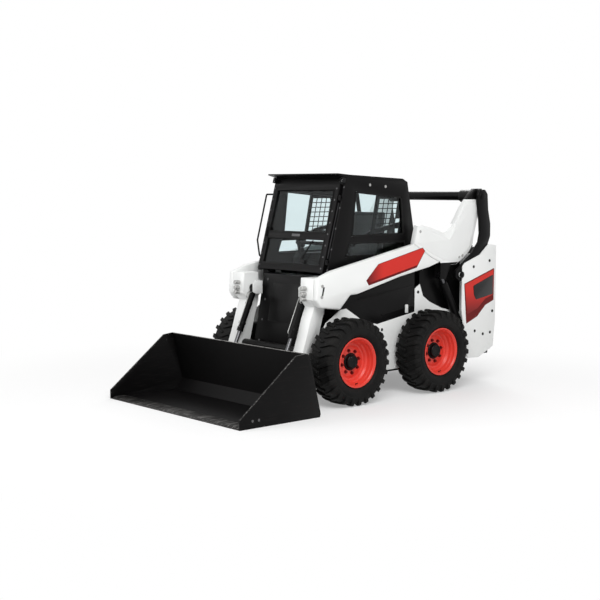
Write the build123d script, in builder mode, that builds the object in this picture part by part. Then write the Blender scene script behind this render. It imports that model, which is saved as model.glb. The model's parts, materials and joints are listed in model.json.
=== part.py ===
"""Wheeled skid steer loader with a closed cab, vertical-lift arms and a smooth-edge bucket.

Millimetres, +Z up.  The machine faces -Y and its left side is +X.  The origin is on the ground,
under the middle of the machine's length.  Side-view outlines are lists of (y, z) points whose y is
counted from the front axle, rearward positive; `side()` moves them into the model's frame.
"""
import os
from math import atan2, cos, degrees, hypot, pi, radians, sin, sqrt

from build123d import *

os.makedirs("parts", exist_ok=True)

# ---------------------------------------------------------------- driving dimensions
CAB_HALF = 485.0            # half the cab's width; the frame, arms and wheels stand beside it
FRAME_REAR = 1945.0         # front axle to the rear edge of the frame's side plates
BUMPER_D = 125.0
REAR_REACH = FRAME_REAR + BUMPER_D
LIP_REACH = 1430.0          # front axle to the tip of the bucket's cutting edge
FRONT_AXLE_Y = (LIP_REACH - REAR_REACH) / 2
RUN = 0.5                   # clearance of a pin or shaft in its bore
GAP = 0.3                   # gap between faces that slide or only seat

# frame
SIDE_OUT = CAB_HALF + 60    # outer face of the frame's side plates
SIDE_T = 10.0
CHAIN_IN = SIDE_OUT - 185   # inner wall of the chaincases
SHEET_T = 8.0
CLEARANCE = 210.0           # belly height over the ground
CHAIN_TOP = 640.0
UPRIGHT_FRONT = 1640.0
UPRIGHT_TOP = 1270.0
PANEL_FRONT = 1502.0
PANEL_REAR = FRAME_REAR + 60
PANEL_T = 10.0
HOOD_Z = 1330.0
HOOD_HALF = CAB_HALF + 15
HOOD_FRONT = 1105.0
LID_T = 16.0
HOOD_PIN_R = 4.5
LOUVRES = 9
LOUVRE_STEP = 48.0
LOUVRE_H = 14.0
LID_SHORT = 75.0            # the lid ends this far before the frame's rear edge
BUMPER_LOW = 255.0
BUMPER_H = 170.0
TIE_X = CAB_HALF - 55
TIE_R = 17.5
TAILGATE_T = 85.0
TAILGATE_HALF = SIDE_OUT - 20
GATE_PIN_R = 9.0
ENGINE_HALF = CHAIN_IN - 70
ENGINE_FRONT = 1150.0
ENGINE_REAR = FRAME_REAR - 65
ENGINE_LOW = 330.0

# wheels
WHEELBASE = 1080.0
TYRE_R = 386.0
TYRE_W = 268.0
TYRE_GAP = 21.0             # frame side to the tyre's inner face
WHEEL_X = SIDE_OUT + TYRE_GAP + TYRE_W / 2
TREAD_W = 216.0
LUG_H = 24.0
LUGS = 18                   # lugs round each half of the tread
LUG_L = 46.0
LUG_SKEW = radians(12)
LUG_PHASE = radians(5)
TYRE_FACETS = 24
NUT_RING_R = 101.6
NUT_R = 12.5
NUT_H = 11.0
BEAD_R = 210.0
BEAD_W = 206.0
RIM_T = 7.0
RIM_LIP = 12.0
DISC_T = 12.0
HUB_R = 70.0
HUB_L = 46.0
SPINDLE_R = 28.0
AXLE_TUBE_R = 50.0

# cab
CAB_POST = 42.0
CAB_SHEET = 6.0
CAB_LOW = (-75.0, 1140.0)   # front lower corner
CAB_TOP = (160.0, 2000.0)   # front upper corner
CAB_REAR_TOP = (945.0, 1968.0)
CAB_REAR_LOW = (1060.0, 1385.0)
CAB_PAN_REAR = (1000.0, 870.0)
CAB_PAN_FRONT = (330.0, 870.0)
PAN_Z = CAB_PAN_FRONT[1] + CAB_POST
CAB_PIVOT = (1075.0, 1360.0)
CAB_PIN_R = 14.0
GLASS_T = 6.0
DOOR_T = 28.0
DOOR_HALF = CAB_HALF - 33
DOOR_BORDER = 57.0
VISOR = 110.0
ROOF_T = 30.0
BAR_PIVOT = (930.0, 1565.0)
BAR_T = 24.0
BAR_X = CAB_HALF - CAB_POST - 48 - BAR_T
BAR_PIN_R = 10.0
CONSOLE_W = 110.0
CONSOLE_IN = BAR_X - CONSOLE_W - 1
SEAT_GAP = 25.0
SEAT_HALF = CONSOLE_IN - SEAT_GAP

# lift linkage (side view, from the front axle)
LINK_PIVOT = (1500.0, 1080.0)
LINK_TOP = (1810.0, 1832.0)
ARM_IN = SIDE_OUT + 20
ARM_T = 60.0
LINK_IN = ARM_IN + ARM_T + 11
LINK_T = 34.0
PANEL_IN = LINK_IN + LINK_T + 6     # inner face of the rear side panels
TUBE_R = 44.0
PIN_R = 25.0
LEG_IN = CHAIN_IN + 40
LEG_W = 130.0
BUCKET_PIVOT = (-490.0, 165.0)
LIFT_BASE = (FRAME_REAR - 195, 300.0)
LIFT_EYE = (1300.0, 1075.0)
LIFT_X = ARM_IN + 23
LIFT_BARREL_R = 38.0
LIFT_CLOSED = hypot(LIFT_BASE[0] - LIFT_EYE[0], LIFT_BASE[1] - LIFT_EYE[1])
LIFT_BARREL_L = LIFT_CLOSED - 81
LIFT_ROD_R = 22.0
LIFT_ROD_L = LIFT_CLOSED - 61
TILT_BASE = (-217.0, 985.0)
TILT_EYE = (-500.0, 345.0)
TILT_BARREL_R = 30.0
TILT_BARREL_L = 430.0
TILT_ROD_R = 18.0
TILT_ROD_L = 590.0
TILT_X = LEG_IN - TILT_BARREL_R - 5
EYE_R = 32.0
EYE_HALF = 15.0
LUG_T = 10.0

# bucket
BUCKET_HALF = 955.0
BUCKET_H = 550.0
BUCKET_SIDE_T = 12.0
BUCKET_SHEET_T = 8.0
HEEL = (-600.0, 0.0)
BACK_TOP = (-735.0, BUCKET_H)
EDGE_D = 150.0
EDGE_T = 18.0


# ---------------------------------------------------------------- helpers
def side(points):
    """Side-view points, y counted from the front axle, in the model's frame."""
    return [(FRONT_AXLE_Y + y, z) for y, z in points]


def finish(piece, name):
    """Label a finished piece and write it."""
    piece.part.label = name
    export_step(piece.part, f"parts/{name}.step")


def plate(outline, inner, thickness, corner=0):
    """Builder of a pair of plates standing along the machine, one on each side."""
    with BuildPart() as pair:
        with BuildSketch(Plane.YZ.offset(inner)) as face:
            with BuildLine():
                Polyline(*side(outline), close=True)
            make_face()
            if corner:
                fillet(face.vertices(), corner)
        extrude(amount=thickness)
        mirror(about=Plane.YZ)
    return pair


def across(outline, half, corner=0):
    """Builder of a solid with a side-view outline that runs across the machine."""
    with BuildPart() as solid:
        with BuildSketch(Plane.YZ) as face:
            with BuildLine():
                Polyline(*side(outline), close=True)
            make_face()
            if corner:
                fillet(face.vertices(), corner)
        extrude(amount=half, both=True)
    return solid


def point_plane(point, x=0.0):
    """Plane normal to X with its origin at a side-view point."""
    return Plane((x, FRONT_AXLE_Y + point[0], point[1]), x_dir=(0, 1, 0), z_dir=(1, 0, 0))


def along(start, end, x):
    """Plane at a side-view point whose normal runs towards another one, and the distance."""
    run = (end[0] - start[0], end[1] - start[1])
    plane = Plane((x, FRONT_AXLE_Y + start[0], start[1]), x_dir=(1, 0, 0), z_dir=(0, *run))
    return plane, hypot(*run)


# ---------------------------------------------------------------- wheels
LUG_REACH = TYRE_W / 2 - 8
LUG_TOP = sqrt(TYRE_R ** 2 - (LUG_L / 2 + LUG_REACH / 2 * sin(LUG_SKEW)) ** 2)
CARCASS_R = LUG_TOP - LUG_H


def lug_plane(angle, hand):
    """Plane of a lug's outline, x across the tread and y outward, at an angle round the axle."""
    forward = Vector(0, cos(angle), -sin(angle))
    outward = Vector(0, sin(angle), cos(angle))
    across_tread = Vector(hand * cos(LUG_SKEW), 0, 0) + forward * sin(LUG_SKEW)
    return Plane(forward * (-LUG_REACH / 2 * sin(LUG_SKEW)), x_dir=across_tread,
                 z_dir=across_tread.cross(outward))


# distance from the tyre's middle and radius, from one bead to the other
CARCASS = [(-BEAD_W / 2, BEAD_R + RIM_LIP + 4), (-TYRE_W / 2 + 4, BEAD_R + 95), (-TREAD_W / 2, CARCASS_R),
           (TREAD_W / 2, CARCASS_R), (TYRE_W / 2 - 4, BEAD_R + 95), (BEAD_W / 2, BEAD_R + RIM_LIP + 4)]
with BuildPart() as plain_tyre:
    for offset_x, radius in CARCASS:
        with BuildSketch(Plane((offset_x, 0, 0), x_dir=(0, 1, 0), z_dir=(1, 0, 0))):
            RegularPolygon(radius=radius, side_count=TYRE_FACETS)
    loft(ruled=True)
    with BuildSketch(Plane((-BEAD_W / 2, 0, 0), x_dir=(0, 1, 0), z_dir=(1, 0, 0))):
        RegularPolygon(radius=BEAD_R, side_count=TYRE_FACETS, major_radius=False)
    extrude(amount=BEAD_W, mode=Mode.SUBTRACT)
    lug_places = [lug_plane(LUG_PHASE + 2 * pi * (k + shift) / LUGS, hand)
                  for k in range(LUGS) for hand, shift in ((1, 0), (-1, 0.5))]
    with BuildSketch(*lug_places):
        Polygon((2, CARCASS_R - 16), (2, LUG_TOP), (LUG_REACH - 14, LUG_TOP), (LUG_REACH, LUG_TOP - LUG_H),
                (LUG_REACH - 6, LUG_TOP - 2.6 * LUG_H), align=None)
    extrude(amount=LUG_L / 2, both=True)


def make_wheel(name, x, y):
    out = 1 if x > 0 else -1
    profile_plane = Plane((x, y, TYRE_R), x_dir=(out, 0, 0), z_dir=(0, -out, 0))
    spin = Axis((x, y, TYRE_R), (1, 0, 0))
    tread = plain_tyre.part if x > 0 else mirror(plain_tyre.part, about=Plane.YZ)
    with BuildPart() as tyre:
        add(tread.moved(Location((x, y, TYRE_R))))
    finish(tyre, f"tyre_{name}")

    barrel_r = BEAD_R - GAP
    lip_r = BEAD_R + RIM_LIP
    half = BEAD_W / 2 + GAP
    with BuildPart() as rim:
        with BuildSketch(profile_plane):
            with BuildLine():
                Polyline(
                    (-half - RIM_T, barrel_r - RIM_T),
                    (-half - RIM_T, lip_r),
                    (-half, lip_r),
                    (-half, barrel_r),
                    (half, barrel_r),
                    (half, lip_r),
                    (half + RIM_T, lip_r),
                    (half + RIM_T, barrel_r - RIM_T),
                    (DISC_T, barrel_r - RIM_T),
                    (DISC_T, HUB_R),
                    (HUB_L, HUB_R - 10),
                    (HUB_L, 0),
                    (DISC_T, 0),
                    (DISC_T, SPINDLE_R + RUN),
                    (-HUB_L, SPINDLE_R + RUN),
                    (-HUB_L, HUB_R),
                    (0, HUB_R),
                    (0, barrel_r - RIM_T),
                    close=True,
                )
            make_face()
        revolve(axis=spin)
        with BuildSketch(Plane((x + out * DISC_T, y, TYRE_R), x_dir=(0, 1, 0), z_dir=(out, 0, 0))):
            with PolarLocations(NUT_RING_R, 8):
                RegularPolygon(radius=NUT_R, side_count=6)
        extrude(amount=NUT_H)
    finish(rim, f"rim_{name}")


for end, axle_y in (("front", FRONT_AXLE_Y), ("rear", FRONT_AXLE_Y + WHEELBASE)):
    make_wheel(f"{end}_left", WHEEL_X, axle_y)
    make_wheel(f"{end}_right", -WHEEL_X, axle_y)

# ---------------------------------------------------------------- frame
chain_front = -160.0
chain_rear = WHEELBASE + 400
with BuildPart() as chaincases:
    with BuildSketch(Plane.YZ.offset(CHAIN_IN)):
        with BuildLine():
            Polyline(*side([(chain_front, CLEARANCE), (chain_rear, CLEARANCE),
                            (chain_rear, CHAIN_TOP), (chain_front, CHAIN_TOP)]), close=True)
        make_face()
    extrude(amount=SIDE_OUT - SIDE_T - CHAIN_IN)
    with BuildSketch(Plane.YZ.offset(CHAIN_IN + SHEET_T)):
        with BuildLine():
            low, high = CLEARANCE + SHEET_T, CHAIN_TOP - SHEET_T
            Polyline(*side([(chain_front + SHEET_T, low), (chain_rear - SHEET_T, low),
                            (chain_rear - SHEET_T, high), (chain_front + SHEET_T, high)]), close=True)
        make_face()
    extrude(amount=SIDE_OUT, mode=Mode.SUBTRACT)
    mirror(about=Plane.YZ)
finish(chaincases, "chaincases")

with BuildPart() as frame_sides:
    with BuildSketch(Plane.YZ.offset(SIDE_OUT - SIDE_T)):
        with BuildLine():
            Polyline(*side([
                (-215, 300), (-160, CLEARANCE), (FRAME_REAR, CLEARANCE + 45),
                (FRAME_REAR, UPRIGHT_TOP), (UPRIGHT_FRONT, UPRIGHT_TOP), (UPRIGHT_FRONT, 700),
                (1570, 715), (1380, 755), (1200, 830), (1110, 890), (1065, 1005), (1000, 965),
                (1000, 745), (500, 665), (300, 720), (110, 835), (40, 830), (-140, 720),
                (-215, 600),
            ]), close=True)
        make_face()
    extrude(amount=SIDE_T)
    mirror(about=Plane.YZ)
finish(frame_sides, "frame_sides")

PAN_FRONT = -173.0
PAN_RISE = 45.0


def pan_top(y):
    """Side-view point on the belly pan's upper face."""
    return (y, CLEARANCE + SHEET_T + PAN_RISE * (y - PAN_FRONT) / (FRAME_REAR - PAN_FRONT))


belly_pan = across([(PAN_FRONT, CLEARANCE), (FRAME_REAR, CLEARANCE + PAN_RISE),
                    pan_top(FRAME_REAR), pan_top(PAN_FRONT)], CHAIN_IN)
finish(belly_pan, "belly_pan")

PLATE_TOP = (-100.0, CAB_LOW[1] - 22)
PLATE_LOW = (-235.0, 430.0)
PLATE_LEN = hypot(PLATE_LOW[0] - PLATE_TOP[0], PLATE_LOW[1] - PLATE_TOP[1])


def on_plate(share, out):
    """Side-view point on the front plate, a share of the way down and moved forward by `out`."""
    run_y = (PLATE_LOW[0] - PLATE_TOP[0]) / PLATE_LEN
    run_z = (PLATE_LOW[1] - PLATE_TOP[1]) / PLATE_LEN
    return (PLATE_TOP[0] + share * PLATE_LEN * run_y + out * run_z,
            PLATE_TOP[1] + share * PLATE_LEN * run_z - out * run_y)


with BuildPart() as front_plate:
    with BuildSketch(Plane.YZ):
        with BuildLine():
            Polyline(*side([
                PLATE_TOP, PLATE_LOW, (PAN_FRONT - 12, CLEARANCE), (PAN_FRONT, CLEARANCE),
                (PLATE_LOW[0] + 12, PLATE_LOW[1]), (PLATE_TOP[0] + 12, PLATE_TOP[1] - 6),
                (60, PLATE_TOP[1] - 6), (60, PLATE_TOP[1]),
            ]), close=True)
        make_face()
    extrude(amount=CHAIN_IN, both=True)
    with BuildSketch(Plane.YZ):
        with BuildLine():
            Polyline(*side([on_plate(0.10, -2), on_plate(0.13, 8), on_plate(0.62, 8), on_plate(0.65, -2)]),
                     close=True)
        make_face()
    extrude(amount=CHAIN_IN - 160, both=True)
finish(front_plate, "front_plate")

BAND_H = 8.0
with BuildPart() as side_skirts:
    with BuildSketch(Plane.YZ.offset(SIDE_OUT - SIDE_T - 10)):
        with BuildLine():
            Polyline(*side([(40, 780), (500, 640), (1000, 720), (1000, 1120), (700, 1075), (150, 945),
                            (110, 945), (40, 830)]), close=True)
        make_face()
    extrude(amount=10)
    for outline in ([(560, 740), (985, 800), (985, 812), (560, 752)],
                    [(260, 900), (985, 985), (985, 999), (260, 914)],
                    [(865, 743), (902, 743), (902, 822), (865, 822)]):
        with BuildSketch(Plane.YZ.offset(SIDE_OUT - SIDE_T - 1)):
            with BuildLine():
                Polyline(*side(outline), close=True)
            make_face()
        extrude(amount=BAND_H + 1)
    mirror(about=Plane.YZ)
finish(side_skirts, "side_skirts")

with BuildPart() as axle_tubes:
    for axle_y in (FRONT_AXLE_Y, FRONT_AXLE_Y + WHEELBASE):
        hub_face = WHEEL_X - HUB_L - GAP
        with BuildSketch(Plane((SIDE_OUT, axle_y, TYRE_R), x_dir=(0, 1, 0), z_dir=(1, 0, 0))):
            Circle(AXLE_TUBE_R)
        extrude(amount=hub_face - SIDE_OUT)
        with BuildSketch(Plane((hub_face, axle_y, TYRE_R), x_dir=(0, 1, 0), z_dir=(1, 0, 0))):
            Circle(SPINDLE_R)
        extrude(amount=HUB_L + DISC_T)
    mirror(about=Plane.YZ)
finish(axle_tubes, "axle_tubes")

with BuildPart() as engine_block:
    with BuildSketch(Plane.YZ):
        with BuildLine():
            Polyline(*side([(ENGINE_FRONT, ENGINE_LOW), (ENGINE_REAR, ENGINE_LOW), (ENGINE_REAR, 900),
                            (ENGINE_REAR - 180, 1150), (ENGINE_FRONT + 100, 1150),
                            (ENGINE_FRONT, 1000)]), close=True)
        make_face()
    extrude(amount=ENGINE_HALF, both=True)
finish(engine_block, "engine_block")

with BuildPart() as engine_mounts:
    for y in (ENGINE_FRONT + 30, ENGINE_REAR - 120):
        with BuildSketch(Plane.YZ.offset(ENGINE_HALF - 110)):
            with BuildLine():
                Polyline(*side([pan_top(y), pan_top(y + 90), (y + 90, ENGINE_LOW), (y, ENGINE_LOW)]),
                         close=True)
            make_face()
        extrude(amount=60)
    mirror(about=Plane.YZ)
finish(engine_mounts, "engine_mounts")

cab_stands = plate([(20, CHAIN_TOP), (110, CHAIN_TOP), (110, CAB_LOW[1] - GAP), (20, CAB_LOW[1] - GAP)],
                   CAB_HALF - CAB_POST + 2, 75)
finish(cab_stands, "cab_stands")

engine_bay_sides = plate([
    (HOOD_FRONT, CHAIN_TOP), (FRAME_REAR, CHAIN_TOP), (FRAME_REAR, HOOD_Z - GAP),
    (HOOD_FRONT, HOOD_Z - GAP),
], HOOD_HALF - SHEET_T, SHEET_T)
finish(engine_bay_sides, "engine_bay_sides")

with BuildPart() as cab_pivots:
    with BuildSketch(Plane.YZ.offset(CAB_HALF + 4)):
        with BuildLine():
            Polyline(*side([(HOOD_FRONT, 1180), (HOOD_FRONT, HOOD_Z - 20), (HOOD_FRONT - 5, 1380),
                            (CAB_PIVOT[0] - 20, 1385), (CAB_PIVOT[0] - 30, 1345),
                            (HOOD_FRONT - 20, 1180)]), close=True)
        make_face()
    extrude(amount=HOOD_HALF - CAB_HALF - 4)
    with BuildSketch(point_plane(CAB_PIVOT, CAB_HALF + 4)):
        Circle(CAB_PIN_R)
    extrude(amount=-50)
    mirror(about=Plane.YZ)
finish(cab_pivots, "cab_pivots")

HOOD_AXIS = (HOOD_FRONT + 7, HOOD_Z + 8)
HOOD_KNUCKLE_X = HOOD_HALF - 100
HOOD_EAR_X = HOOD_HALF - 32
with BuildPart() as hood_hinges:
    with BuildSketch(Plane.YZ.offset(HOOD_EAR_X)):
        with BuildLine():
            Polyline(*side([(HOOD_FRONT, 1250), (HOOD_FRONT + 60, 1250), (HOOD_FRONT + 60, 1310),
                            (HOOD_FRONT + 12, 1310), (HOOD_FRONT + 12, HOOD_Z + 15),
                            (HOOD_FRONT, HOOD_Z + 15)]), close=True)
        make_face()
    extrude(amount=12)
    with BuildSketch(Plane.YZ.offset(HOOD_EAR_X + 12)):
        with BuildLine():
            Polyline(*side([(HOOD_FRONT, 1250), (HOOD_FRONT + 60, 1250), (HOOD_FRONT + 60, 1310),
                            (HOOD_FRONT, 1310)]), close=True)
        make_face()
    extrude(amount=HOOD_HALF - SHEET_T - HOOD_EAR_X - 12)
    with BuildSketch(point_plane(HOOD_AXIS, HOOD_EAR_X)):
        Circle(HOOD_PIN_R)
    extrude(amount=HOOD_KNUCKLE_X - HOOD_EAR_X)
    mirror(about=Plane.YZ)
finish(hood_hinges, "hood_hinges")

# ---------------------------------------------------------------- rear
def panel_at(share):
    """Distance behind the front axle of a share of the rear panel's length."""
    return PANEL_FRONT + share * (PANEL_REAR - PANEL_FRONT)


with BuildPart() as rear_panels:
    with BuildSketch(Plane.YZ.offset(PANEL_IN)):
        with BuildLine():
            Polyline(*side([
                (PANEL_FRONT, 750), (PANEL_FRONT + 12, 1160), (PANEL_FRONT + 43, 1190),
                (panel_at(0.52), 1263), (panel_at(0.77), 1362), (PANEL_REAR, 1349),
                (PANEL_REAR, 600), (panel_at(0.94), 350), (panel_at(0.52), 256),
                (panel_at(0.19), 261),
            ]), close=True)
        make_face()
    extrude(amount=PANEL_T)
    with BuildSketch(point_plane(LINK_PIVOT, PANEL_IN)):
        Circle(PIN_R - RUN)
    extrude(amount=LINK_IN - PANEL_IN - 4)
    mirror(about=Plane.YZ)
finish(rear_panels, "rear_panels")

with BuildPart() as rear_boxes:
    with BuildSketch(Plane.YZ.offset(SIDE_OUT)):
        with BuildLine():
            Polyline(*side([(FRAME_REAR - 20, 320), (FRAME_REAR, 320), (FRAME_REAR, 1000),
                            (FRAME_REAR - 20, 1000)]), close=True)
        make_face()
    extrude(amount=PANEL_IN - SIDE_OUT)
    with BuildSketch(point_plane(LIFT_BASE, SIDE_OUT)):
        Circle(PIN_R - RUN)
    extrude(amount=PANEL_IN - SIDE_OUT)
    mirror(about=Plane.YZ)
finish(rear_boxes, "rear_boxes")

with BuildPart() as bumper:
    with BuildSketch(Plane.XY.offset(BUMPER_LOW)):
        with Locations((0, FRONT_AXLE_Y + REAR_REACH - BUMPER_D / 2)):
            Rectangle(2 * SIDE_OUT, BUMPER_D)
        with Locations((-TIE_X, FRONT_AXLE_Y + REAR_REACH - BUMPER_D / 2),
                       (TIE_X, FRONT_AXLE_Y + REAR_REACH - BUMPER_D / 2)):
            Circle(TIE_R, mode=Mode.SUBTRACT)
    extrude(amount=BUMPER_H)
finish(bumper, "bumper")

tail_low = BUMPER_LOW + BUMPER_H + 12
gate_rear = REAR_REACH - 15
gate_axis = (-(TAILGATE_HALF + 14), FRONT_AXLE_Y + gate_rear)
GATE_HINGES = (tail_low + 90, HOOD_Z - 260)
GRILLE_HALF = TAILGATE_HALF - 145
GRILLE_LOW = 660.0
GRILLE_H = 460.0
GRILLE_D = 10.0
GRILLE_SLATS = 18
with BuildPart() as tailgate:
    with BuildSketch(Plane.YZ):
        with BuildLine():
            Polyline(*side([
                (gate_rear - TAILGATE_T, tail_low), (gate_rear, tail_low), (gate_rear, HOOD_Z - 120),
                (gate_rear - 40, HOOD_Z - 12), (gate_rear - TAILGATE_T, HOOD_Z - 12),
            ]), close=True)
        make_face()
    extrude(amount=TAILGATE_HALF, both=True)
    with BuildSketch(Plane.XZ.offset(-(FRONT_AXLE_Y + gate_rear))):
        with Locations((0, GRILLE_LOW + GRILLE_H / 2)):
            Rectangle(2 * GRILLE_HALF + 40, GRILLE_H + 40)
            Rectangle(2 * GRILLE_HALF, GRILLE_H, mode=Mode.SUBTRACT)
        with Locations((GRILLE_HALF + 80, GRILLE_LOW + 230)):
            Rectangle(50, 140)
    extrude(amount=-GRILLE_D)
    with BuildSketch(Plane.YZ.offset(-GRILLE_HALF)):
        for k in range(GRILLE_SLATS):
            z = GRILLE_LOW + (k + 0.3) * GRILLE_H / GRILLE_SLATS
            with BuildLine():
                Polyline(*side([(gate_rear - 1, z), (gate_rear + GRILLE_D - 1, z + 4),
                                (gate_rear - 1, z + 20)]), close=True)
            make_face()
    extrude(amount=2 * GRILLE_HALF)
    for z in GATE_HINGES:
        with BuildSketch(Plane.XY.offset(z)):
            with Locations(gate_axis):
                Circle(GATE_PIN_R + 8)
            with Locations((gate_axis[0] + 12, gate_axis[1] - 9)):
                Rectangle(20, 18)
        extrude(amount=50)
        with BuildSketch(Plane.XY.offset(z)):
            with Locations(gate_axis):
                Circle(GATE_PIN_R + RUN)
        extrude(amount=50, mode=Mode.SUBTRACT)
finish(tailgate, "tailgate")

with BuildPart() as gate_lamps:
    with BuildSketch(Plane.XZ.offset(-(FRONT_AXLE_Y + gate_rear + GAP))):
        with Locations((GRILLE_HALF + 95, 1060), (-GRILLE_HALF - 95, 1060)):
            Rectangle(70, 100)
    extrude(amount=-12)
finish(gate_lamps, "gate_lamps")

with BuildPart() as gate_hinges:
    for z in GATE_HINGES:
        with BuildSketch(Plane.XY.offset(z - 22)):
            with Locations((gate_axis[0] - 5, gate_axis[1] - (gate_rear - FRAME_REAR) / 2 + 3)):
                Rectangle(24, gate_rear - FRAME_REAR + 6)
        extrude(amount=20)
        with BuildSketch(Plane.XY.offset(z - 2)):
            with Locations(gate_axis):
                Circle(GATE_PIN_R)
        extrude(amount=52)
finish(gate_hinges, "gate_hinges")

lid_rear = FRAME_REAR - LID_SHORT
with BuildPart() as hood_lid:
    with BuildSketch(Plane.YZ):
        with BuildLine():
            Polyline(*side([(HOOD_FRONT + 22, HOOD_Z), (lid_rear, HOOD_Z), (lid_rear, HOOD_Z + LID_T),
                            (HOOD_FRONT + 22, HOOD_Z + LID_T)]), close=True)
        make_face()
    extrude(amount=HOOD_HALF, both=True)
    for x in (30, -HOOD_HALF + 100):
        with BuildSketch(Plane.YZ.offset(x)):
            for k in range(LOUVRES):
                y = HOOD_FRONT + 192 + k * LOUVRE_STEP
                with BuildLine():
                    Polyline(*side([(y, HOOD_Z + LID_T - 1), (y + 28, HOOD_Z + LID_T + LOUVRE_H),
                                    (y + 28, HOOD_Z + LID_T - 1)]), close=True)
                make_face()
        extrude(amount=HOOD_HALF - 130)
    for x in (HOOD_KNUCKLE_X, -HOOD_KNUCKLE_X - 60):
        with BuildSketch(point_plane(HOOD_AXIS, x)):
            Circle(LID_T / 2)
            with Locations((9, 0)):
                Rectangle(18, LID_T)
        extrude(amount=60)
        with BuildSketch(point_plane(HOOD_AXIS, x)):
            Circle(HOOD_PIN_R + RUN)
        extrude(amount=60, mode=Mode.SUBTRACT)
finish(hood_lid, "hood_lid")

with BuildPart() as tail_lamps:
    with BuildSketch(Plane.YZ.offset(SIDE_OUT + 30)):
        with BuildLine():
            Polyline(*side([(FRAME_REAR, 880), (FRAME_REAR + 45, 880), (FRAME_REAR + 45, 990),
                            (FRAME_REAR, 990)]), close=True)
        make_face()
    extrude(amount=80)
    mirror(about=Plane.YZ)
finish(tail_lamps, "tail_lamps")

# ---------------------------------------------------------------- cab
FRONT_RUN = (CAB_TOP[0] - CAB_LOW[0], CAB_TOP[1] - CAB_LOW[1])
FRONT_LEN = hypot(*FRONT_RUN)
LEAN = atan2(FRONT_RUN[0], FRONT_RUN[1])
FRONT = Plane((0, FRONT_AXLE_Y + CAB_LOW[0], CAB_LOW[1]), x_dir=(1, 0, 0),
              z_dir=(0, -cos(LEAN), sin(LEAN)))
CAB_OUTLINE = [CAB_LOW, CAB_TOP, CAB_REAR_TOP, CAB_REAR_LOW, CAB_PAN_REAR, CAB_PAN_FRONT,
               (200, CAB_LOW[1])]
UPPER_WINDOW = [(224, 1475), (272, 1880), (868, 1828), (905, 1475)]
LOWER_WINDOW = [(145, 1290), (196, 1420), (919, 1420), (935, 1290)]
REAR_WINDOW_LOW = 1460.0
REAR_WINDOW_HIGH = 1880.0
REAR_WINDOW_HALF = 380.0
DOOR_LOW = 12.0
DOOR_TOP = FRONT_LEN - 60
DOOR_GAP = 5.0
DOOR_HINGES = (110.0, DOOR_TOP - 130)
HINGE_PIN_R = 6.0
HINGE_X = DOOR_HALF + 16
HINGE_OUT = DOOR_GAP + DOOR_T / 2


def hinge_plane(height):
    """Plane across the door's hinge line at a height up the cab's front."""
    centre = FRONT.from_local_coords(Vector(HINGE_X, height, HINGE_OUT))
    return Plane(centre, x_dir=(1, 0, 0), z_dir=(0, sin(LEAN), cos(LEAN)))


rear_lean = (CAB_REAR_LOW[0] - CAB_REAR_TOP[0]) / (CAB_REAR_TOP[1] - CAB_REAR_LOW[1])


def rear_wall(z, inset):
    """Side-view point on the cab's rear wall at a height, moved in by `inset`."""
    return (CAB_REAR_TOP[0] + (CAB_REAR_TOP[1] - z) * rear_lean - inset, z)


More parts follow.
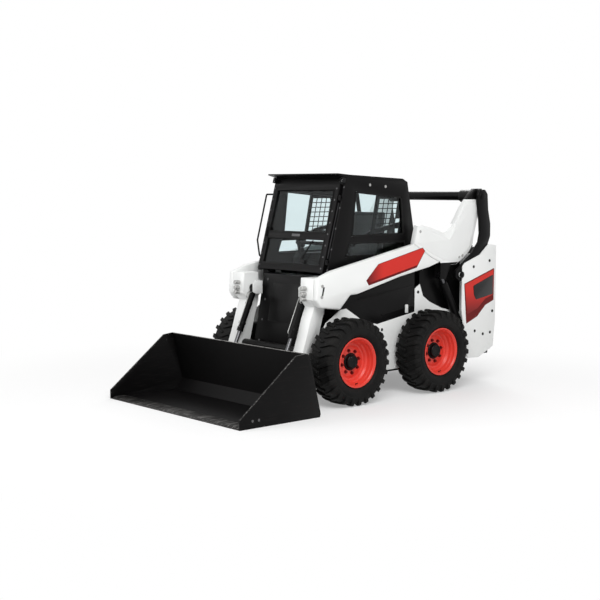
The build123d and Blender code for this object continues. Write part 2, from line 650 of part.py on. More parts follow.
DIVIDER_X = -215.0
with BuildPart() as cab_frame:
    with BuildSketch(Plane.YZ):
        with BuildLine():
            Polyline(*side(CAB_OUTLINE), close=True)
        make_face()
    extrude(amount=CAB_HALF, both=True)
    with BuildSketch(Plane.YZ):
        with BuildLine():
            Polyline(*side(CAB_OUTLINE), close=True)
        make_face()
        offset(amount=-CAB_POST, kind=Kind.INTERSECTION)
    extrude(amount=CAB_HALF - CAB_POST, both=True, mode=Mode.SUBTRACT)
    with BuildSketch(Plane.YZ):
        with BuildLine():
            Polyline(*side([(60, 1240), (330, PAN_Z), (950, PAN_Z), (1000, 1240)]), close=True)
        make_face()
    extrude(amount=CAB_HALF - CAB_SHEET, both=True, mode=Mode.SUBTRACT)
    with BuildSketch(Plane.YZ):
        with BuildLine():
            Polyline(*side([(-200, 1000), (-200, CAB_LOW[1] + CAB_POST), (120, CAB_LOW[1] + CAB_POST),
                            (330, 920), (300, 820)]), close=True)
        make_face()
    extrude(amount=CAB_HALF - CAB_POST, both=True, mode=Mode.SUBTRACT)
    with BuildSketch(FRONT):
        with Locations((0, (DOOR_LOW + DOOR_TOP) / 2)):
            Rectangle(2 * (DOOR_HALF - 30), DOOR_TOP - DOOR_LOW - 60)
    extrude(amount=-2 * CAB_POST, mode=Mode.SUBTRACT)
    with BuildSketch(Plane.YZ.offset(-CAB_HALF)):
        with BuildLine():
            Polyline(*side(UPPER_WINDOW), close=True)
        make_face()
        with BuildLine():
            Polyline(*side(LOWER_WINDOW), close=True)
        make_face()
    extrude(amount=2 * CAB_HALF, mode=Mode.SUBTRACT)
    with BuildSketch(Plane.XZ.offset(-(FRONT_AXLE_Y + CAB_REAR_TOP[0] - 2 * CAB_POST))):
        with Locations((0, (REAR_WINDOW_LOW + REAR_WINDOW_HIGH) / 2)):
            Rectangle(2 * REAR_WINDOW_HALF, REAR_WINDOW_HIGH - REAR_WINDOW_LOW)
    extrude(amount=-6 * CAB_POST, mode=Mode.SUBTRACT)
    with BuildSketch(Plane.YZ.offset(DIVIDER_X)):
        with BuildLine():
            Polyline(*side([rear_wall(REAR_WINDOW_LOW - 8, 12 + GLASS_T + GAP),
                            rear_wall(REAR_WINDOW_HIGH + 8, 12 + GLASS_T + GAP),
                            rear_wall(REAR_WINDOW_HIGH + 8, CAB_POST - 6),
                            rear_wall(REAR_WINDOW_LOW - 8, CAB_POST - 6)]), close=True)
        make_face()
    extrude(amount=40)
    for x in (-1, 1):
        with BuildSketch(point_plane(CAB_PIVOT, x * (CAB_HALF - 6))):
            Circle(CAB_PIN_R + 10)
        extrude(amount=-x * 30)
        with BuildSketch(point_plane(CAB_PIVOT, x * CAB_HALF)):
            Circle(CAB_PIN_R + RUN)
        extrude(amount=-x * (CAB_POST + 10), mode=Mode.SUBTRACT)
        wall = x * (CAB_HALF - CAB_POST)
        with BuildSketch(point_plane(BAR_PIVOT, wall)):
            Circle(BAR_PIN_R + 8)
        extrude(amount=x * (BAR_X + BAR_T + 3) - wall)
        with BuildSketch(point_plane(BAR_PIVOT, wall)):
            Circle(BAR_PIN_R)
        extrude(amount=x * BAR_X - wall)
    for height in DOOR_HINGES:
        with BuildSketch(FRONT):
            with Locations((HINGE_X + 2, height - 12)):
                Rectangle(20, 20)
        extrude(amount=HINGE_OUT + 8)
        with BuildSketch(hinge_plane(height - 2)):
            Circle(HINGE_PIN_R)
        extrude(amount=24)
finish(cab_frame, "cab_frame")

with BuildPart() as side_windows:
    with BuildSketch(Plane.YZ.offset(CAB_HALF - 12 - GLASS_T)):
        with BuildLine():
            Polyline(*side(UPPER_WINDOW), close=True)
        make_face()
        with BuildLine():
            Polyline(*side(LOWER_WINDOW), close=True)
        make_face()
    extrude(amount=GLASS_T)
    mirror(about=Plane.YZ)
finish(side_windows, "side_windows")

GUARD_FRONT = 604.0         # behind the clear front pane, at the guard's upper edge
GUARD_LEAN = 0.21
GUARD_POST_W = 32.0
GUARD_PITCH = (62.0, 46.0)
GUARD_CELL = (54.0, 38.0)
GUARD_ROWS = 7
GUARD_X = CAB_HALF - 12 - GLASS_T - 9
window_low = UPPER_WINDOW[0][1] + GAP
guard_high = UPPER_WINDOW[2][1] + 21
window_lean = (UPPER_WINDOW[3][0] - UPPER_WINDOW[2][0]) / (UPPER_WINDOW[2][1] - UPPER_WINDOW[3][1])


def guard_at(behind, z):
    """Side-view point behind the guard's leaning front edge at a height."""
    return (GUARD_FRONT + GUARD_LEAN * (z - guard_high) + behind, z)


def guard_cells():
    """Outlines of the mesh's openings, as many in each row as there is room for."""
    outlines = []
    for row in range(GUARD_ROWS):
        low = window_low + 20 + row * GUARD_PITCH[1]
        high = low + GUARD_CELL[1]
        rear = UPPER_WINDOW[3][0] - window_lean * (high - UPPER_WINDOW[3][1]) - 8
        room = rear - guard_at(8, high)[0]
        for column in range(int((room + GUARD_PITCH[0] - GUARD_CELL[0]) // GUARD_PITCH[0])):
            start = 8 + column * GUARD_PITCH[0]
            end = start + GUARD_CELL[0]
            outlines.append([guard_at(start, low), guard_at(end, low), guard_at(end, high),
                             guard_at(start, high)])
    return outlines


with BuildPart() as window_guards:
    with BuildSketch(Plane.YZ.offset(GUARD_X)):
        with BuildLine():
            Polyline(*side([guard_at(0, window_low), (UPPER_WINDOW[3][0] - 0.5, window_low),
                            (UPPER_WINDOW[2][0] - 0.5, UPPER_WINDOW[2][1] - 0.5),
                            guard_at(0, guard_high)]), close=True)
        make_face()
        for outline in guard_cells():
            with BuildLine():
                Polyline(*side(outline), close=True)
            make_face(mode=Mode.SUBTRACT)
    extrude(amount=5)
    with BuildSketch(Plane.YZ.offset(GUARD_X - 15)):
        with BuildLine():
            Polyline(*side([guard_at(-GUARD_POST_W, window_low), guard_at(0, window_low),
                            guard_at(0, guard_high), guard_at(-GUARD_POST_W, guard_high + 2)]),
                     close=True)
        make_face()
    extrude(amount=22)
    mirror(about=Plane.YZ)
finish(window_guards, "window_guards")

rear_window = across([
    rear_wall(REAR_WINDOW_LOW, 12), rear_wall(REAR_WINDOW_HIGH, 12),
    rear_wall(REAR_WINDOW_HIGH, 12 + GLASS_T), rear_wall(REAR_WINDOW_LOW, 12 + GLASS_T),
], REAR_WINDOW_HALF)
finish(rear_window, "rear_window")

visor_run = VISOR * cos(LEAN)
visor_rise = VISOR * sin(LEAN)
ROOF_RIBS = (-305, -102, 102, 305)
roof_fall = (CAB_TOP[1] - CAB_REAR_TOP[1]) / (CAB_REAR_TOP[0] - CAB_TOP[0] - 100)


def roof_top(y, rise):
    """Side-view point over the roof's upper face."""
    return (y, CAB_TOP[1] + ROOF_T - (y - CAB_TOP[0] - 40) * roof_fall + rise)


with BuildPart() as roof:
    with BuildSketch(Plane.YZ):
        with BuildLine():
            Polyline(*side([
                CAB_TOP, (CAB_TOP[0] - visor_run, CAB_TOP[1] + visor_rise),
                (CAB_TOP[0] - visor_run, CAB_TOP[1] + visor_rise + 12),
                (CAB_TOP[0] + 40, CAB_TOP[1] + ROOF_T),
                (CAB_REAR_TOP[0] - 60, CAB_REAR_TOP[1] + ROOF_T), CAB_REAR_TOP,
            ]), close=True)
        make_face()
    extrude(amount=CAB_HALF, both=True)
    for x in ROOF_RIBS:
        with BuildSketch(Plane.YZ.offset(x - 30)):
            with BuildLine():
                Polyline(*side([roof_top(CAB_TOP[0] + 80, -1), roof_top(CAB_TOP[0] + 140, 8),
                                roof_top(CAB_REAR_TOP[0] - 145, 8), roof_top(CAB_REAR_TOP[0] - 90, -1)]),
                         close=True)
            make_face()
        extrude(amount=60)
finish(roof, "roof")

door_mid = 343.0
bar_half = 28.0
with BuildPart() as door_frame:
    with BuildSketch(FRONT.offset(DOOR_GAP)):
        with Locations((0, (DOOR_LOW + DOOR_TOP) / 2)):
            Rectangle(2 * DOOR_HALF, DOOR_TOP - DOOR_LOW)
        with Locations((0, (DOOR_LOW + DOOR_BORDER + door_mid - bar_half) / 2)):
            Rectangle(2 * (DOOR_HALF - DOOR_BORDER), door_mid - bar_half - DOOR_LOW - DOOR_BORDER,
                      mode=Mode.SUBTRACT)
        with Locations((0, (DOOR_TOP - DOOR_BORDER + door_mid + bar_half) / 2)):
            Rectangle(2 * (DOOR_HALF - DOOR_BORDER), DOOR_TOP - DOOR_BORDER - door_mid - bar_half,
                      mode=Mode.SUBTRACT)
    extrude(amount=DOOR_T)
    with BuildSketch(FRONT.offset(DOOR_GAP + DOOR_T)):
        with Locations((-DOOR_HALF + 42, 365)):
            Rectangle(30, 130)
    extrude(amount=7)
    with BuildSketch(FRONT.offset(DOOR_GAP + DOOR_T + 7)):
        with Locations((-DOOR_HALF + 41, 365)):
            Rectangle(18, 94)
    extrude(amount=18)
    for height in DOOR_HINGES:
        with BuildSketch(hinge_plane(height)):
            Circle(HINGE_PIN_R + 5)
            with Locations((-14, 0)):
                Rectangle(24, 12)
        extrude(amount=22)
        with BuildSketch(hinge_plane(height)):
            Circle(HINGE_PIN_R + RUN)
        extrude(amount=22, mode=Mode.SUBTRACT)
finish(door_frame, "door_frame")

with BuildPart() as door_glass:
    with BuildSketch(FRONT.offset(DOOR_GAP + (DOOR_T - GLASS_T) / 2)):
        with Locations((0, (DOOR_LOW + DOOR_BORDER + door_mid - bar_half) / 2)):
            Rectangle(2 * (DOOR_HALF - DOOR_BORDER), door_mid - bar_half - DOOR_LOW - DOOR_BORDER)
        with Locations((0, (DOOR_TOP - DOOR_BORDER + door_mid + bar_half) / 2)):
            Rectangle(2 * (DOOR_HALF - DOOR_BORDER), DOOR_TOP - DOOR_BORDER - door_mid - bar_half)
    extrude(amount=GLASS_T)
finish(door_glass, "door_glass")

# seat and controls
seat_base = across([(480, PAN_Z), (900, PAN_Z), (900, PAN_Z + 128), (480, PAN_Z + 168)],
                   SEAT_HALF - 25)
finish(seat_base, "seat_base")

seat_cushion = across([(440, PAN_Z + 172), (880, PAN_Z + 132), (880, PAN_Z + 238),
                       (440, PAN_Z + 273)], SEAT_HALF, 25)
finish(seat_cushion, "seat_cushion")

seat_back = across([(790, 1155.3), (885, 1155.3), (935, 1700), (855, 1700)], SEAT_HALF, 25)
finish(seat_back, "seat_back")

with BuildPart() as controls:
    with BuildSketch(Plane.YZ.offset(CONSOLE_IN)):
        with BuildLine():
            Polyline(*side([(380, PAN_Z), (760, PAN_Z), (760, 1290), (300, 1290), (260, 1240)]),
                     close=True)
        make_face()
    extrude(amount=CONSOLE_W)
    with BuildSketch(Plane((CONSOLE_IN + 55, FRONT_AXLE_Y + 320, 1275), x_dir=(1, 0, 0),
                           z_dir=(0, -sin(LEAN), cos(LEAN)))):
        Circle(17)
    extrude(amount=190)
    mirror(about=Plane.YZ)
finish(controls, "controls")

with BuildPart() as seat_bar:
    with BuildSketch(Plane.YZ.offset(BAR_X)):
        with BuildLine():
            Polyline(*side([(960, 1550), (945, 1590), (900, 1585), (560, 1520), (330, 1405), (330, 1375),
                            (570, 1488), (930, 1540)]), close=True)
        make_face()
    extrude(amount=BAR_T)
    with BuildSketch(point_plane(BAR_PIVOT, BAR_X)):
        Circle(BAR_PIN_R + RUN)
    extrude(amount=BAR_T, mode=Mode.SUBTRACT)
    mirror(about=Plane.YZ)
    with BuildSketch(point_plane((340, 1390))):
        Circle(17)
    extrude(amount=BAR_X + BAR_T, both=True)
finish(seat_bar, "seat_bar")

lamp_z = CAB_TOP[1] - 60
with BuildPart() as work_lamps:
    with BuildSketch(FRONT.offset(GAP)):
        with Locations((CAB_HALF - 16, FRONT_LEN - 28), (-CAB_HALF + 16, FRONT_LEN - 28)):
            Rectangle(30, 50)
    extrude(amount=40)
finish(work_lamps, "work_lamps")

with BuildPart() as grab_handle:
    with BuildLine():
        x = -CAB_HALF - GAP
        rail = FilletPolyline(
            (x, FRONT_AXLE_Y + 150, 1850), (x - 28, FRONT_AXLE_Y + 150, 1850),
            (x - 28, FRONT_AXLE_Y + 60, 1850), (x - 28, FRONT_AXLE_Y - 55, 1420),
            (x - 28, FRONT_AXLE_Y - 30, 1270), (x - 28, FRONT_AXLE_Y + 60, 1255),
            (x, FRONT_AXLE_Y + 60, 1255), radius=14)
    with BuildSketch(Plane(rail @ 0, z_dir=rail % 0)):
        Circle(8)
    sweep()
finish(grab_handle, "grab_handle")

# ---------------------------------------------------------------- lift arms
with BuildPart() as rear_links:
    with BuildSketch(Plane.YZ.offset(LINK_IN)):
        with BuildLine():
            Polyline(*side([
                (1740, 1840), (1765, 1895), (1850, 1895), (1888, 1850), (1900, 1700), (1935, 1560),
                (1935, 1440), (1880, 1320), (1790, 1225), (1660, 1120), (1570, 1040), (1500, 1010),
                (1435, 1050), (1440, 1120), (1560, 1200), (1680, 1285), (1770, 1385), (1790, 1470),
                (1780, 1600),
            ]), close=True)
        make_face()
    extrude(amount=LINK_T)
    with BuildSketch(point_plane(LINK_PIVOT, LINK_IN)):
        Circle(PIN_R)
    extrude(amount=LINK_T, mode=Mode.SUBTRACT)
    mirror(about=Plane.YZ)
finish(rear_links, "rear_links")

with BuildPart() as rear_tube:
    with BuildSketch(point_plane(LINK_TOP)):
        Circle(TUBE_R)
    extrude(amount=LINK_IN, both=True)
finish(rear_tube, "rear_tube")

BEAM_SEAM = [(906, 1391), (1139, 1260), (1265, 1211)]
arm_beams = plate([
    (-318, 937), (-306, 1127), (-142, 1185), *BEAM_SEAM, (1115, 1168), (710, 1094), (174, 966),
    (88, 962), (60, 935), (-39, 839), (-270, 870),
], ARM_IN, ARM_T)
finish(arm_beams, "arm_beams")

with BuildPart() as arm_rear_plates:
    with BuildSketch(Plane.YZ.offset(ARM_IN)):
        with BuildLine():
            Polyline(*side([
                (906, 1391), (951, 1564), (1003, 1570), (1305, 1490), (1458, 1566), (1566, 1718),
                (1690, 1850), (1760, 1905), (1850, 1905), (1885, 1830), (1830, 1750), (1789, 1615),
                (1741, 1455), (1723, 1368), (1677, 1301), (1595, 1236), (1482, 1179), (1410, 1176),
                (1337, 1185), (1265, 1211), (1139, 1260),
            ]), close=True)
        make_face()
    extrude(amount=ARM_T)
    with BuildSketch(point_plane(LINK_TOP, ARM_IN)):
        Circle(TUBE_R + 18)
    extrude(amount=-160)
    with BuildSketch(point_plane(LINK_TOP, ARM_IN - 170)):
        Circle(TUBE_R + RUN)
    extrude(amount=ARM_T + 180, mode=Mode.SUBTRACT)
    with BuildSketch(Plane.YZ.offset(ARM_IN + ARM_T - LUG_T)):
        with BuildLine():
            Polyline(*side([(1265, 1211), (1410, 1176), (1340, 1045), (1260, 1045)]), close=True)
        make_face()
    extrude(amount=LUG_T)
    with BuildSketch(Plane.YZ.offset(ARM_IN - 4 - LUG_T)):
        with BuildLine():
            Polyline(*side([(1270, 1340), (1400, 1340), (1400, 1170), (1340, 1045), (1260, 1045)]),
                     close=True)
        make_face()
    extrude(amount=LUG_T)
    with BuildSketch(Plane.YZ.offset(ARM_IN - 4)):
        with BuildLine():
            Polyline(*side([(1290, 1330), (1390, 1330), (1390, 1240), (1290, 1240)]), close=True)
        make_face()
    extrude(amount=4)
    mirror(about=Plane.YZ)
finish(arm_rear_plates, "arm_rear_plates")

KNEE_REAR = -135.0
COUPLER_R = 17.0
COUPLER_L = 75.0
with BuildPart() as arm_legs:
    with BuildSketch(Plane.YZ.offset(LEG_IN)):
        with BuildLine():
            Polyline(*side([
                (-306, 1127), (-318, 937), (-262, 870), (-305, 770), (-350, 620), (-400, 480),
                (-480, 300), (-545, 225), (-562, 165), (-535, 110), (-490, 93), (-440, 110),
                (-400, 190), (-310, 340), (-235, 500), (-185, 700), (KNEE_REAR, 860),
                (KNEE_REAR, 1127),
            ]), close=True)
        make_face()
    extrude(amount=LEG_W)
    with BuildSketch(Plane.YZ.offset(LEG_IN + LEG_W)):
        with BuildLine():
            Polyline(*side([(-306, 1127), (-318, 937), (-262, 880), (KNEE_REAR, 860),
                            (KNEE_REAR, 1127)]), close=True)
        make_face()
    extrude(amount=ARM_IN - LEG_IN - LEG_W)
    with BuildSketch(point_plane(BUCKET_PIVOT, LEG_IN)):
        Circle(PIN_R)
    extrude(amount=LEG_W, mode=Mode.SUBTRACT)
    with BuildSketch(Plane.XZ.offset(-(FRONT_AXLE_Y - 290))):
        with Locations((LEG_IN + 70, 942), (LEG_IN + 70, 985), (LEG_IN + 70, 1035)):
            Circle(COUPLER_R)
    extrude(amount=COUPLER_L)
    mirror(about=Plane.YZ)
finish(arm_legs, "arm_legs")

CROSS = (-300.0, 470.0)
with BuildPart() as arm_crossmember:
    with BuildSketch(point_plane(CROSS)):
        Circle(40)
    extrude(amount=LEG_IN, both=True)
finish(arm_crossmember, "arm_crossmember")

lug_x = TILT_X - 45
bracket_rear = KNEE_REAR - 17
with BuildPart() as tilt_brackets:
    with BuildSketch(Plane.YZ.offset(lug_x)):
        with BuildLine():
            Polyline(*side([(-265, 950), (-265, 1030), (-230, 1050), (bracket_rear, 1050),
                            (bracket_rear, 930), (-230, 930)]), close=True)
        make_face()
    extrude(amount=10)
    with BuildSketch(Plane.YZ.offset(lug_x + 10)):
        with BuildLine():
            Polyline(*side([(bracket_rear - 16, 930), (bracket_rear, 930), (bracket_rear, 1050),
                            (bracket_rear - 16, 1050)]), close=True)
        make_face()
    extrude(amount=LEG_IN - lug_x - 10)
    with BuildSketch(point_plane(TILT_BASE, lug_x)):
        Circle(PIN_R - 5 - RUN)
    extrude(amount=LEG_IN - lug_x)
    mirror(about=Plane.YZ)
finish(tilt_brackets, "tilt_brackets")


# ---------------------------------------------------------------- cylinders
def make_cylinder(name, base, eye, x, barrel_r, barrel_l, rod_r, rod_l, pin_r):
    """Barrel with its base eye, and the rod with its own, on both sides of the machine."""
    axis_plane, length = along(base, eye, x)
    with BuildPart() as barrel:
        with BuildSketch(axis_plane):
            Circle(barrel_r)
        extrude(amount=barrel_l)
        with BuildSketch(point_plane(base, x - 28)):
            Circle(barrel_r + 4)
        extrude(amount=56)
        with BuildSketch(axis_plane.offset(barrel_r + 14)):
            Circle(rod_r + RUN)
        extrude(amount=barrel_l, mode=Mode.SUBTRACT)
        with BuildSketch(point_plane(base, x - barrel_r - 5)):
            Circle(pin_r)
        extrude(amount=2 * barrel_r + 10, mode=Mode.SUBTRACT)
        mirror(about=Plane.YZ)
    finish(barrel, f"{name}_barrels")
    with BuildPart() as rod:
        with BuildSketch(axis_plane.offset(length)):
            Circle(rod_r)
        extrude(amount=-rod_l)
        with BuildSketch(point_plane(eye, x - EYE_HALF)):
            Circle(EYE_R)
        extrude(amount=2 * EYE_HALF)
        mirror(about=Plane.YZ)
    finish(rod, f"{name}_rods")


make_cylinder("lift", LIFT_BASE, LIFT_EYE, LIFT_X, LIFT_BARREL_R, LIFT_BARREL_L,
              LIFT_ROD_R, LIFT_ROD_L, PIN_R)
make_cylinder("tilt", TILT_BASE, TILT_EYE, TILT_X, TILT_BARREL_R, TILT_BARREL_L,
              TILT_ROD_R, TILT_ROD_L, PIN_R - 5)

# ---------------------------------------------------------------- bucket and its carrier
back_slope = (BACK_TOP[0] - HEEL[0]) / (BACK_TOP[1] - HEEL[1])


def on_back(z, behind):
    """Side-view point on the rear face of the bucket's back at a height, moved rearward."""
    return (HEEL[0] + back_slope * (z - HEEL[1]) + behind, z)


LIP_Y = -LIP_REACH
SIDE_BEHIND = 38.0          # how far the side plates stand out behind the bucket's back
SIDE_OUTLINE = [
    (LIP_Y, 0), (LIP_Y, 78), (BACK_TOP[0] - 106, BACK_TOP[1] - 12), BACK_TOP,
    on_back(BUCKET_H - 12, SIDE_BEHIND), on_back(26, SIDE_BEHIND), (HEEL[0] + 21, 0),
]
with BuildPart() as bucket_shell:
    with BuildSketch(Plane.YZ.offset(BUCKET_HALF - BUCKET_SIDE_T)):
        with BuildLine():
            Polyline(*side(SIDE_OUTLINE), close=True)
        make_face()
    extrude(amount=BUCKET_SIDE_T)
    mirror(about=Plane.YZ)
    with BuildSketch(Plane.YZ.offset(-BUCKET_HALF + BUCKET_SIDE_T)):
        with BuildLine():
            Polyline(*side([
                (LIP_Y + EDGE_D, 0), (LIP_Y + EDGE_D, BUCKET_SHEET_T),
                (HEEL[0] - 120, BUCKET_SHEET_T), on_back(110, -BUCKET_SHEET_T),
                on_back(BUCKET_H, -BUCKET_SHEET_T), BACK_TOP, on_back(60, 0), (HEEL[0] - 28, 0),
            ]), close=True)
        make_face()
    extrude(amount=2 * (BUCKET_HALF - BUCKET_SIDE_T))
    for x in (-BUCKET_HALF + 255, BUCKET_HALF - 267):
        with BuildSketch(Plane.YZ.offset(x)):
            with BuildLine():
                Polyline(*side([on_back(100, -4), on_back(BUCKET_H - 30, -4), on_back(BUCKET_H - 50, 45),
                                on_back(140, 60)]), close=True)
            make_face()
        extrude(amount=12)
finish(bucket_shell, "bucket_shell")

cutting_edge = across([
    (LIP_Y, 0), (LIP_Y + EDGE_D, 0), (LIP_Y + EDGE_D, EDGE_T), (LIP_Y + 40, EDGE_T), (LIP_Y, 4),
], BUCKET_HALF - BUCKET_SIDE_T)
finish(cutting_edge, "cutting_edge")

foot_in, foot_out = LEG_IN, LEG_IN + LEG_W
with BuildPart() as carrier_frames:
    with BuildSketch(Plane.YZ.offset(LEG_IN - 62)):
        with BuildLine():
            Polyline(*side([on_back(95, GAP), on_back(505, GAP), on_back(505, 14), on_back(95, 14)]),
                     close=True)
        make_face()
    extrude(amount=LEG_W + 76)
    for x in (foot_in - 14, foot_out + 2):
        with BuildSketch(Plane.YZ.offset(x)):
            with BuildLine():
                Polyline(*side([on_back(95, 14), on_back(280, 14), (-470, 225), (-438, 165),
                                (-460, 115)]), close=True)
            make_face()
        extrude(amount=12)
    for x in (TILT_X - EYE_HALF - 15, TILT_X + EYE_HALF + 3):
        with BuildSketch(Plane.YZ.offset(x)):
            with BuildLine():
                Polyline(*side([on_back(260, 14), on_back(505, 14), on_back(500, 70), (-480, 390),
                                (-458, 345), (-480, 300)]), close=True)
            make_face()
        extrude(amount=12)
    with BuildSketch(point_plane(BUCKET_PIVOT, foot_in - 14)):
        Circle(PIN_R - RUN)
    extrude(amount=LEG_W + 28)
    mirror(about=Plane.YZ)
finish(carrier_frames, "carrier_frames")

with BuildPart() as carrier_tube:
    with BuildSketch(point_plane(on_back(470, 40))):
        Circle(26)
    extrude(amount=TILT_X - EYE_HALF - 15, both=True)
finish(carrier_tube, "carrier_tube")
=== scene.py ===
# %% [markdown]
# # Dressing a skid steer loader
# The engineering model gives every part its true place and says which parts move together. This lesson
# gives each part its looks: rounded edges, tread, bolts, louvres, pipes and paint. A Blender object that
# dresses the model always names the body it moves with, so the machine can be posed afterwards.

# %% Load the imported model
import bpy
import bmesh
import json
from math import atan2, cos, pi, radians, sin
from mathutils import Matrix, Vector


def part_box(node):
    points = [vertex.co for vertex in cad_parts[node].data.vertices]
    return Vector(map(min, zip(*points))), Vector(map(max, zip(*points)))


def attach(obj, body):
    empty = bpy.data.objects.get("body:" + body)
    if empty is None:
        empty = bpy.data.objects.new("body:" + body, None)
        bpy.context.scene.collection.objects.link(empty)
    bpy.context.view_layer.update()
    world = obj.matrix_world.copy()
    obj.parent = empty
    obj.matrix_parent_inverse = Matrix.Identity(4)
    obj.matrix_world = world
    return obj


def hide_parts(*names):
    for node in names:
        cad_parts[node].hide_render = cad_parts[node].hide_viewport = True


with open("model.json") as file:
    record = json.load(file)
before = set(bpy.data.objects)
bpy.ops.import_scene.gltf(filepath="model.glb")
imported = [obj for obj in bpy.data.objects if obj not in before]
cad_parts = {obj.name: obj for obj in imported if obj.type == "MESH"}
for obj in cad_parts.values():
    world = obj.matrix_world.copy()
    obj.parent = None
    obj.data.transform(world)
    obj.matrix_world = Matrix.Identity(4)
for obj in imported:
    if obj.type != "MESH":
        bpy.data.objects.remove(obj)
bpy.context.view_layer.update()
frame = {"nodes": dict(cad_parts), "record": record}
nodes = frame["nodes"]

# %% [markdown]
# ## Where things are
# The machine faces -Y and its left is +X. Side-view outlines are easiest to read when they start at the
# front axle, so the front wheel's box gives that axle, and `at` turns "so far behind the axle, so high"
# into a point. Nothing here is typed twice: the wheel says where the wheel is.

# %% Points measured from the front axle
low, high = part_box("tyre_front_left")
FRONT_AXLE = (low.y + high.y) / 2
AXLE_Z = (low.z + high.z) / 2
TYRE_R = (high.z - low.z) / 2
TRACK = (low.x + high.x) / 2
rear_low, rear_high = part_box("tyre_rear_left")
REAR_AXLE = (rear_low.y + rear_high.y) / 2


def at(x, behind, up):
    """Point at x, so far behind the front axle and so high over the ground."""
    return Vector((x, FRONT_AXLE + behind, up))


print("front axle y", round(FRONT_AXLE, 3), "tyre radius", round(TYRE_R, 3), "track", round(TRACK, 3))

# %% [markdown]
# ## Paint
# Paint on a machine is never one flat colour. It drifts a little in tone, has the faint dimples that
# sprayed paint dries with, and gathers dust low down where the wheels throw it. All of that can be worked
# out from the point's own place, with noise for the drift and the height for the dust. The gloss itself is
# the same all over, so it stays a plain number on the shader. Every node here and in the node trees further
# down is made by one function, `add_node`: properties by name, and inputs filled with numbers or with
# other nodes.

# %% Helpers that build nodes
def plug(tree, node, sockets):
    """Fill inputs, by name or number, with plain values, with outputs or with nodes (their first output)."""
    for key, value in sockets.items():
        socket = node.inputs[key]
        if isinstance(value, bpy.types.Node):
            value = value.outputs[0]
        if isinstance(value, bpy.types.NodeSocket):
            tree.links.new(value, socket)
        elif socket.type == "RGBA":
            socket.default_value = (*value, 1)
        else:
            socket.default_value = value


def add_node(tree, kind, sockets=None, **settings):
    """New node with its properties set and its inputs filled."""
    node = tree.nodes.new(kind)
    for key, value in settings.items():
        setattr(node, key, value)
    plug(tree, node, sockets or {})
    return node


def maths(tree, operation, *values, clamp=False):
    """Math node on plain numbers or outputs."""
    return add_node(tree, "ShaderNodeMath", dict(enumerate(values)), operation=operation, use_clamp=clamp)


def map_range(tree, value, start, end, to_start=0.0, to_end=1.0, kind="LINEAR"):
    """Value moved from the range start..end to the range to_start..to_end and kept inside it."""
    sockets = {"Value": value, "From Min": start, "From Max": end, "To Min": to_start, "To Max": to_end}
    return add_node(tree, "ShaderNodeMapRange", sockets, interpolation_type=kind)


print("helpers", plug.__name__, add_node.__name__, maths.__name__, map_range.__name__)


# %% Helpers that build a material
COLOUR_A, COLOUR_B, COLOUR_RESULT = 6, 7, 2     # numbers of the Mix node's colour sockets


def start_material(name):
    """New material, with its node tree and its shader."""
    material = bpy.data.materials.new(name)
    material.use_nodes = True
    return material, material.node_tree, material.node_tree.nodes["Principled BSDF"]


def own_place(tree):
    """The object's own coordinates."""
    return add_node(tree, "ShaderNodeTexCoord").outputs["Object"]


def along(tree, axis):
    """One axis of the object's own coordinates."""
    return add_node(tree, "ShaderNodeSeparateXYZ", {"Vector": own_place(tree)}).outputs[axis]


def noise(tree, scale, detail, stretch=None):
    """Noise over the object's own coordinates; `stretch` scales each axis."""
    spot = own_place(tree)
    if stretch:
        spot = add_node(tree, "ShaderNodeMapping", {"Vector": spot, "Scale": stretch})
    return add_node(tree, "ShaderNodeTexNoise", {"Vector": spot, "Scale": scale, "Detail": detail})


def ramp(tree, factor, stops):
    """Colour ramp with two (position, colour) stops."""
    node = add_node(tree, "ShaderNodeValToRGB", {"Fac": factor})
    for mark, (position, colour) in zip(node.color_ramp.elements, stops):
        mark.position = position
        mark.color = (*colour, 1)
    return node


def mix(tree, factor, first, second):
    """Mix two colours by a factor."""
    sockets = {"Factor": factor, COLOUR_A: first, COLOUR_B: second}
    return add_node(tree, "ShaderNodeMix", sockets, data_type="RGBA").outputs[COLOUR_RESULT]


def bump(tree, shader, height, strength, distance):
    """Bump from a height, on the shader's normal."""
    sockets = {"Height": height, "Strength": strength, "Distance": distance}
    plug(tree, shader, {"Normal": add_node(tree, "ShaderNodeBump", sockets)})


def low_dust(tree, top, most):
    """Factor that is `most` at the ground and fades out at height `top`, broken up by noise."""
    fade = map_range(tree, along(tree, "Z"), 0.0, top, most, 0.0)
    return maths(tree, "MULTIPLY", fade, noise(tree, 14.0, 6.0))


print("materials so far", len(bpy.data.materials))

# %% The paint recipe
DUST, DUST_TOP = (0.30, 0.26, 0.21), 0.75
PEEL_SCALE, PEEL_DEPTH = 420.0, 0.0006


def paint(name, colour, gloss, peel=0.04, drift=0.06, dust=0.25, metal=0.0, shine=0.5):
    """Sprayed paint: tone drift, orange peel, a little dust near the ground."""
    material, tree, shader = start_material(name)
    darker = tuple(c * (1 - drift) for c in colour)
    lighter = tuple(min(1.0, c * (1 + drift) + drift * 0.01) for c in colour)
    tone = ramp(tree, noise(tree, 2.5, 4.0), [(0.3, darker), (0.7, lighter)])
    dusty = mix(tree, low_dust(tree, DUST_TOP, dust), tone, DUST)
    plug(tree, shader, {
        "Base Color": dusty, "Roughness": gloss, "Metallic": metal, "Specular IOR Level": shine})
    bump(tree, shader, noise(tree, PEEL_SCALE, 2.0), peel, PEEL_DEPTH)
    return material


